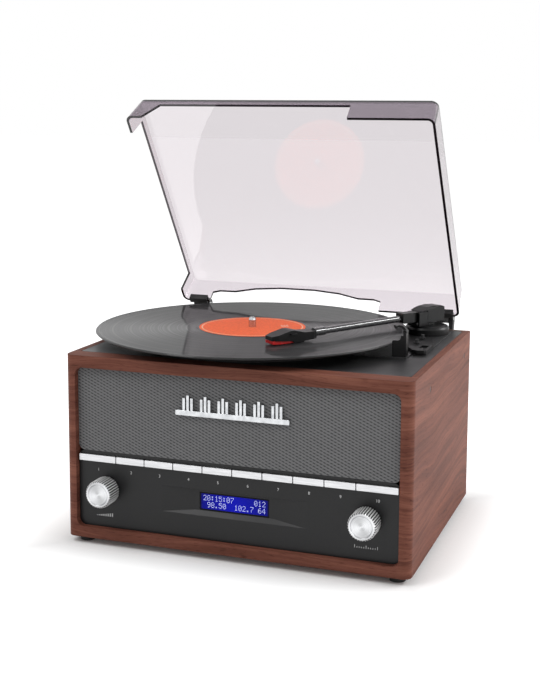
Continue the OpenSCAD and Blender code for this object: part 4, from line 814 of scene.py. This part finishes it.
dress(grooved_vinyl(), "record")
dress(label_paper(), "record_label")
CREAM_INK = printed_ink("cream ink, offset-printed", "#d4baac", "#f7d9c8")
SPEED_HEIGHT, SPEED_OUT, SPEED_TURN = 7, 31, -62  # height, and place out from and round the spindle
label_middle = Vector((SPINDLE.x, SPINDLE.y, LABEL_HIGH.z))
clear_of_paper = Vector((0, SPEED_OUT, INK_THICK / 2 + 0.01))
place = Matrix.Translation(label_middle * MM) @ Matrix.Rotation(radians(SPEED_TURN), 4, "Z")
printed_number("label_speed_number", "33", SPEED_HEIGHT, place @ Matrix.Translation(clear_of_paper * MM),
               CREAM_INK, "platter_group")

# -------------------------------------------------------------- tonearm
# A straight tube in black gloss paint between a moulded pivot housing and a
# headshell, on a yoke that turns in the round base; the needle holder is red.

# satin ABS with a fine skin: a shade blacker than the deck, with soft highlights
ARM_PLASTIC = moulded("black ABS arm parts, satin", "#0b0b0c", "#141415", 0.34, 0.9, 0.03, ior=1.3, edge=0.5)
dress(ARM_PLASTIC, "arm_base", "arm_yoke", "arm_housing", "headshell", "arm_rest", "arm_clip")


def gloss_paint():
    """Black enamel on aluminium tube: sharp white highlight along the top."""
    material, tree = finish_named("black enamel, gloss")
    spot = add(tree, "TexCoord")
    flow = add(tree, "TexNoise", {"Scale": every(6), "Detail": 3}, {"Vector": spot.outputs["Object"]})
    tint = add(tree, "ValToRGB", {"stops": [(0.3, "#1c1c1e"), (0.7, "#303032")]}, {0: flow})
    gloss = add(tree, "MapRange", {"To Min": 0.1, "To Max": 0.16}, {"Value": flow})
    shader = add(tree, "BsdfPrincipled", {"Metallic": 0.3, "Coat Weight": 1, "Coat Roughness": 0.06},
                 {"Base Color": tint, "Roughness": gloss})
    add(tree, "OutputMaterial", (), {0: shader})
    return material


dress(gloss_paint(), "arm_tube")
dress(moulded("red ABS needle holder, moulded", "#a80f12", "#d61d1f", 0.25, 0.8, 0.02), "cartridge")

# --------------------------------------------------------- switch block
# A low moulding beside the platter with two sliding pegs: one sets the speed,
# the other turns the stop at the end of a side on and off.
dress(ARM_PLASTIC, "switch_block")
dress(MATT_BLACK, "speed_peg", "stop_peg")

# ------------------------------------------------------- lid and hinges
# An injection-moulded lid of smoked clear polystyrene, notched for the record,
# in two black clips that turn on steel pins in brackets on the back.
LID_OPEN = radians(55)  # how far the lid stands open
LID_UP = Vector((0, sin(LID_OPEN), cos(LID_OPEN)))  # from the walls' rims to the top
LID_AHEAD = Vector((0, -cos(LID_OPEN), sin(LID_OPEN)))  # from the hinge to the front wall
HINGE = middle_mm("hinge_pins")
FRONT_WALL = 247.5  # its inner face, from the hinge's axis
PLATE_INSIDE = 20.5  # just below the inner face of the lid's top, above the hinge's axis


def smoked_styrene():
    """Smoked clear polystyrene: pale grey through the sheet, with painted shade that tints the walls darker,
    the front wall darker still and the cut edges near black.
    """
    material, tree = finish_named("polystyrene, smoked clear")
    spot = add(tree, "TexCoord")
    ripple = add(tree, "TexNoise", {"Scale": every(70), "Detail": 1}, {"Vector": spot.outputs["Object"]})
    gloss = add(tree, "MapRange", {"To Max": 0.03}, {"Value": ripple})
    flow = add(tree, "Bump", {"Strength": 0.03, "Distance": 0.2 * MM}, {"Height": ripple})
    # height in the lid itself, from the hinge's axis towards its top
    from_hinge = add(tree, "VectorMath", {"operation": "SUBTRACT", 1: HINGE * MM},
                     {0: spot.outputs["Object"]})
    height = add(tree, "VectorMath", {"operation": "DOT_PRODUCT", 1: LID_UP}, {0: from_hinge})
    facing = add(tree, "VectorMath", {"operation": "DOT_PRODUCT", 1: LID_UP}, {0: spot.outputs["Normal"]})
    level = add(tree, "Math", {"operation": "ABSOLUTE"}, {0: facing.outputs["Value"]})
    on_rim = add(tree, "Math", {"operation": "GREATER_THAN", 1: 0.3}, {0: level})
    below = add(tree, "Math", {"operation": "LESS_THAN", 1: PLATE_INSIDE * MM}, {0: height.outputs["Value"]})
    cut = add(tree, "Math", {"operation": "MULTIPLY"}, {0: on_rim, 1: below})
    # painted shade: the front wall is seen from above through its whole height, so its smoke is painted
    # darker
    forward = add(tree, "VectorMath", {"operation": "DOT_PRODUCT", 1: LID_AHEAD}, {0: from_hinge})
    at_front = add(tree, "Math", {"operation": "GREATER_THAN", 1: FRONT_WALL * MM},
                   {0: forward.outputs["Value"]})
    # painted shade: below the top the walls are tinted darker than the top, and their cut rims near black,
    # for the longer path of light through the smoke
    sheet = add(tree, "Mix", {"data_type": "RGBA", 6: linear("#fbf9fb"), 7: linear("#e4e0e4")}, {0: below})
    wall = add(tree, "Mix", {"data_type": "RGBA", 7: linear("#a399a5")}, {0: at_front, 6: sheet.outputs[2]})
    tint = add(tree, "Mix", {"data_type": "RGBA", 7: linear("#141115")}, {0: cut, 6: wall.outputs[2]})
    shader = add(tree, "BsdfPrincipled", {"Transmission Weight": 1, "IOR": 1.57},
                 {"Base Color": tint.outputs[2], "Roughness": gloss, "Normal": flow})
    smoke = add(tree, "VolumeAbsorption", {"Color": linear("#8d6074"), "Density": 88})
    add(tree, "OutputMaterial", (), {"Surface": shader, "Volume": smoke})
    return material


dress(smoked_styrene(), "lid")
dress(MATT_BLACK, "lid_clips", "hinge_brackets")
dress(STEEL, "hinge_pins")
BRACKET_X, BRACKET_T, BRACKET_SCREW_R = 133.35, 3, 3.1
BRACKET_LOW = box_mm("hinge_brackets")[0].z
screws("hinge_bracket_screws", [(x, REAR_FACE + BRACKET_T, BRACKET_LOW + up)
                                for x in (-BRACKET_X, BRACKET_X) for up in (7, 24)], BRACKET_SCREW_R)

# ---------------------------------------------- floor, light and camera
# A white floor with a painted shadow round the case, a white room, a broad soft lamp on the left, a weaker
# one on the right, a strip lamp at the back right, and the camera in front, to the right.


def seen_directly(tree):
    """1 for rays from the camera and for those that metal and glass pass on, otherwise 0."""
    path = add(tree, "LightPath")
    passed_on = add(tree, "Math", {"operation": "MAXIMUM"},
                    {0: path.outputs["Is Glossy Ray"], 1: path.outputs["Is Transmission Ray"]})
    return add(tree, "Math", {"operation": "MAXIMUM"}, {0: path.outputs["Is Camera Ray"], 1: passed_on})


def white_floor():
    """White studio floor: white to the camera, but for the object's shadow and a painted shadow that darkens
    it within 60 mm of the case.
    """
    material, tree = finish_named("studio floor, white")
    spot = add(tree, "TexCoord")
    paper = add(tree, "TexNoise", {"Scale": every(4)}, {"Vector": spot.outputs["Object"]})
    tint = add(tree, "ValToRGB", {"stops": [(0.3, "#efefef"), (0.7, "#f2f2f2")]}, {0: paper})
    matt = add(tree, "BsdfDiffuse", (), {"Color": tint})
    # painted shadow: the floor's glow is low at the case's foot and lifts the floor to white over 60 mm from
    # it, so the floor is painted darker round the case
    outward = add(tree, "VectorMath", {"operation": "ABSOLUTE"}, {0: spot.outputs["Object"]})
    case_corner = box_mm("case_shell")[1] * MM
    beyond = add(tree, "VectorMath", {"operation": "SUBTRACT", 1: case_corner}, {0: outward})
    sides = add(tree, "SeparateXYZ", (), {0: beyond})
    away = add(tree, "Math", {"operation": "MAXIMUM"}, {0: sides.outputs["X"], 1: sides.outputs["Y"]})
    rising = add(tree, "MapRange", {"From Max": 60 * MM, "To Min": 0.02, "To Max": 0.56},
                 {"Value": away})
    glow = add(tree, "Emission", (), {"Strength": rising})
    lifted = add(tree, "AddShader", (), {0: matt, 1: glow})
    both = add(tree, "MixShader", (), {0: seen_directly(tree), 1: matt, 2: lifted})
    add(tree, "OutputMaterial", (), {0: both})
    return material


scene = bpy.context.scene
FLOOR_HALF, FLOOR_Z = 12000, -0.2  # a wide floor, just under the feet
floor_mesh = bpy.data.meshes.new("floor")
corners = [(-1, -1), (1, -1), (1, 1), (-1, 1)]
floor_mesh.from_pydata([Vector((x * FLOOR_HALF, y * FLOOR_HALF, FLOOR_Z)) * MM for x, y in corners],
                       [], [(0, 1, 2, 3)])
floor_mesh.materials.append(white_floor())
floor = bpy.data.objects.new("floor", floor_mesh)
scene.collection.objects.link(floor)

world = bpy.data.worlds.new("white room")
world.use_nodes = True
room = world.node_tree
room.nodes.clear()
# as a light, the room has only 0.55 of the white that is seen
dim = add(room, "Background", {"Color": (1, 1, 1, 1), "Strength": 0.55})
bright = add(room, "Background", {"Color": (1, 1, 1, 1), "Strength": 1})
blend = add(room, "MixShader", (), {0: seen_directly(room), 1: dim, 2: bright})
add(room, "OutputWorld", (), {0: blend})
scene.world = world


def soft_lamp(name, place, target, wide, deep, watts):
    """A soft box of that width and depth at place that looks at target, in metres."""
    light = bpy.data.lights.new(name, "AREA")
    light.shape, light.size, light.size_y, light.energy = "RECTANGLE", wide, deep, watts
    lamp = bpy.data.objects.new(name, light)
    lamp.location = place
    lamp.rotation_euler = (Vector(target) - Vector(place)).to_track_quat("-Z", "Y").to_euler()
    scene.collection.objects.link(lamp)


soft_lamp("soft_box_right", (1.6, -0.3, 1.0), (0, 0, 0.1), 1.0, 1.0, 6)
soft_lamp("soft_box_left", (-1.0, -1.0, 1.7), (0, 0, 0.12), 1.2, 1.2, 18)
# low enough to shine under the open lid, along the arm's tube and across the record
soft_lamp("strip_light", (1.2, 0.52, 0.9), (0.09, 0.03, 0.19), 0.9, 0.14, 10)

CAMERA_PLACE = (0.3822, -1.0975, 0.4010)
CAMERA_PAN, CAMERA_TILT, CAMERA_ROLL = 0.34192, -0.13094, 0.00437  # radians left, down, anticlockwise
camera_data = bpy.data.cameras.new("camera")
camera_data.lens, camera_data.sensor_width, camera_data.shift_y = 63.76, 36, -0.12
camera_data.clip_start, camera_data.clip_end = 0.05, 60
camera = bpy.data.objects.new("camera", camera_data)
camera.matrix_world = (Matrix.Translation(CAMERA_PLACE) @ Matrix.Rotation(CAMERA_PAN, 4, "Z")
                       @ Matrix.Rotation(pi / 2 + CAMERA_TILT, 4, "X") @ Matrix.Rotation(CAMERA_ROLL, 4, "Z"))
scene.collection.objects.link(camera)
scene.camera = camera
scene.view_settings.view_transform = "Standard"
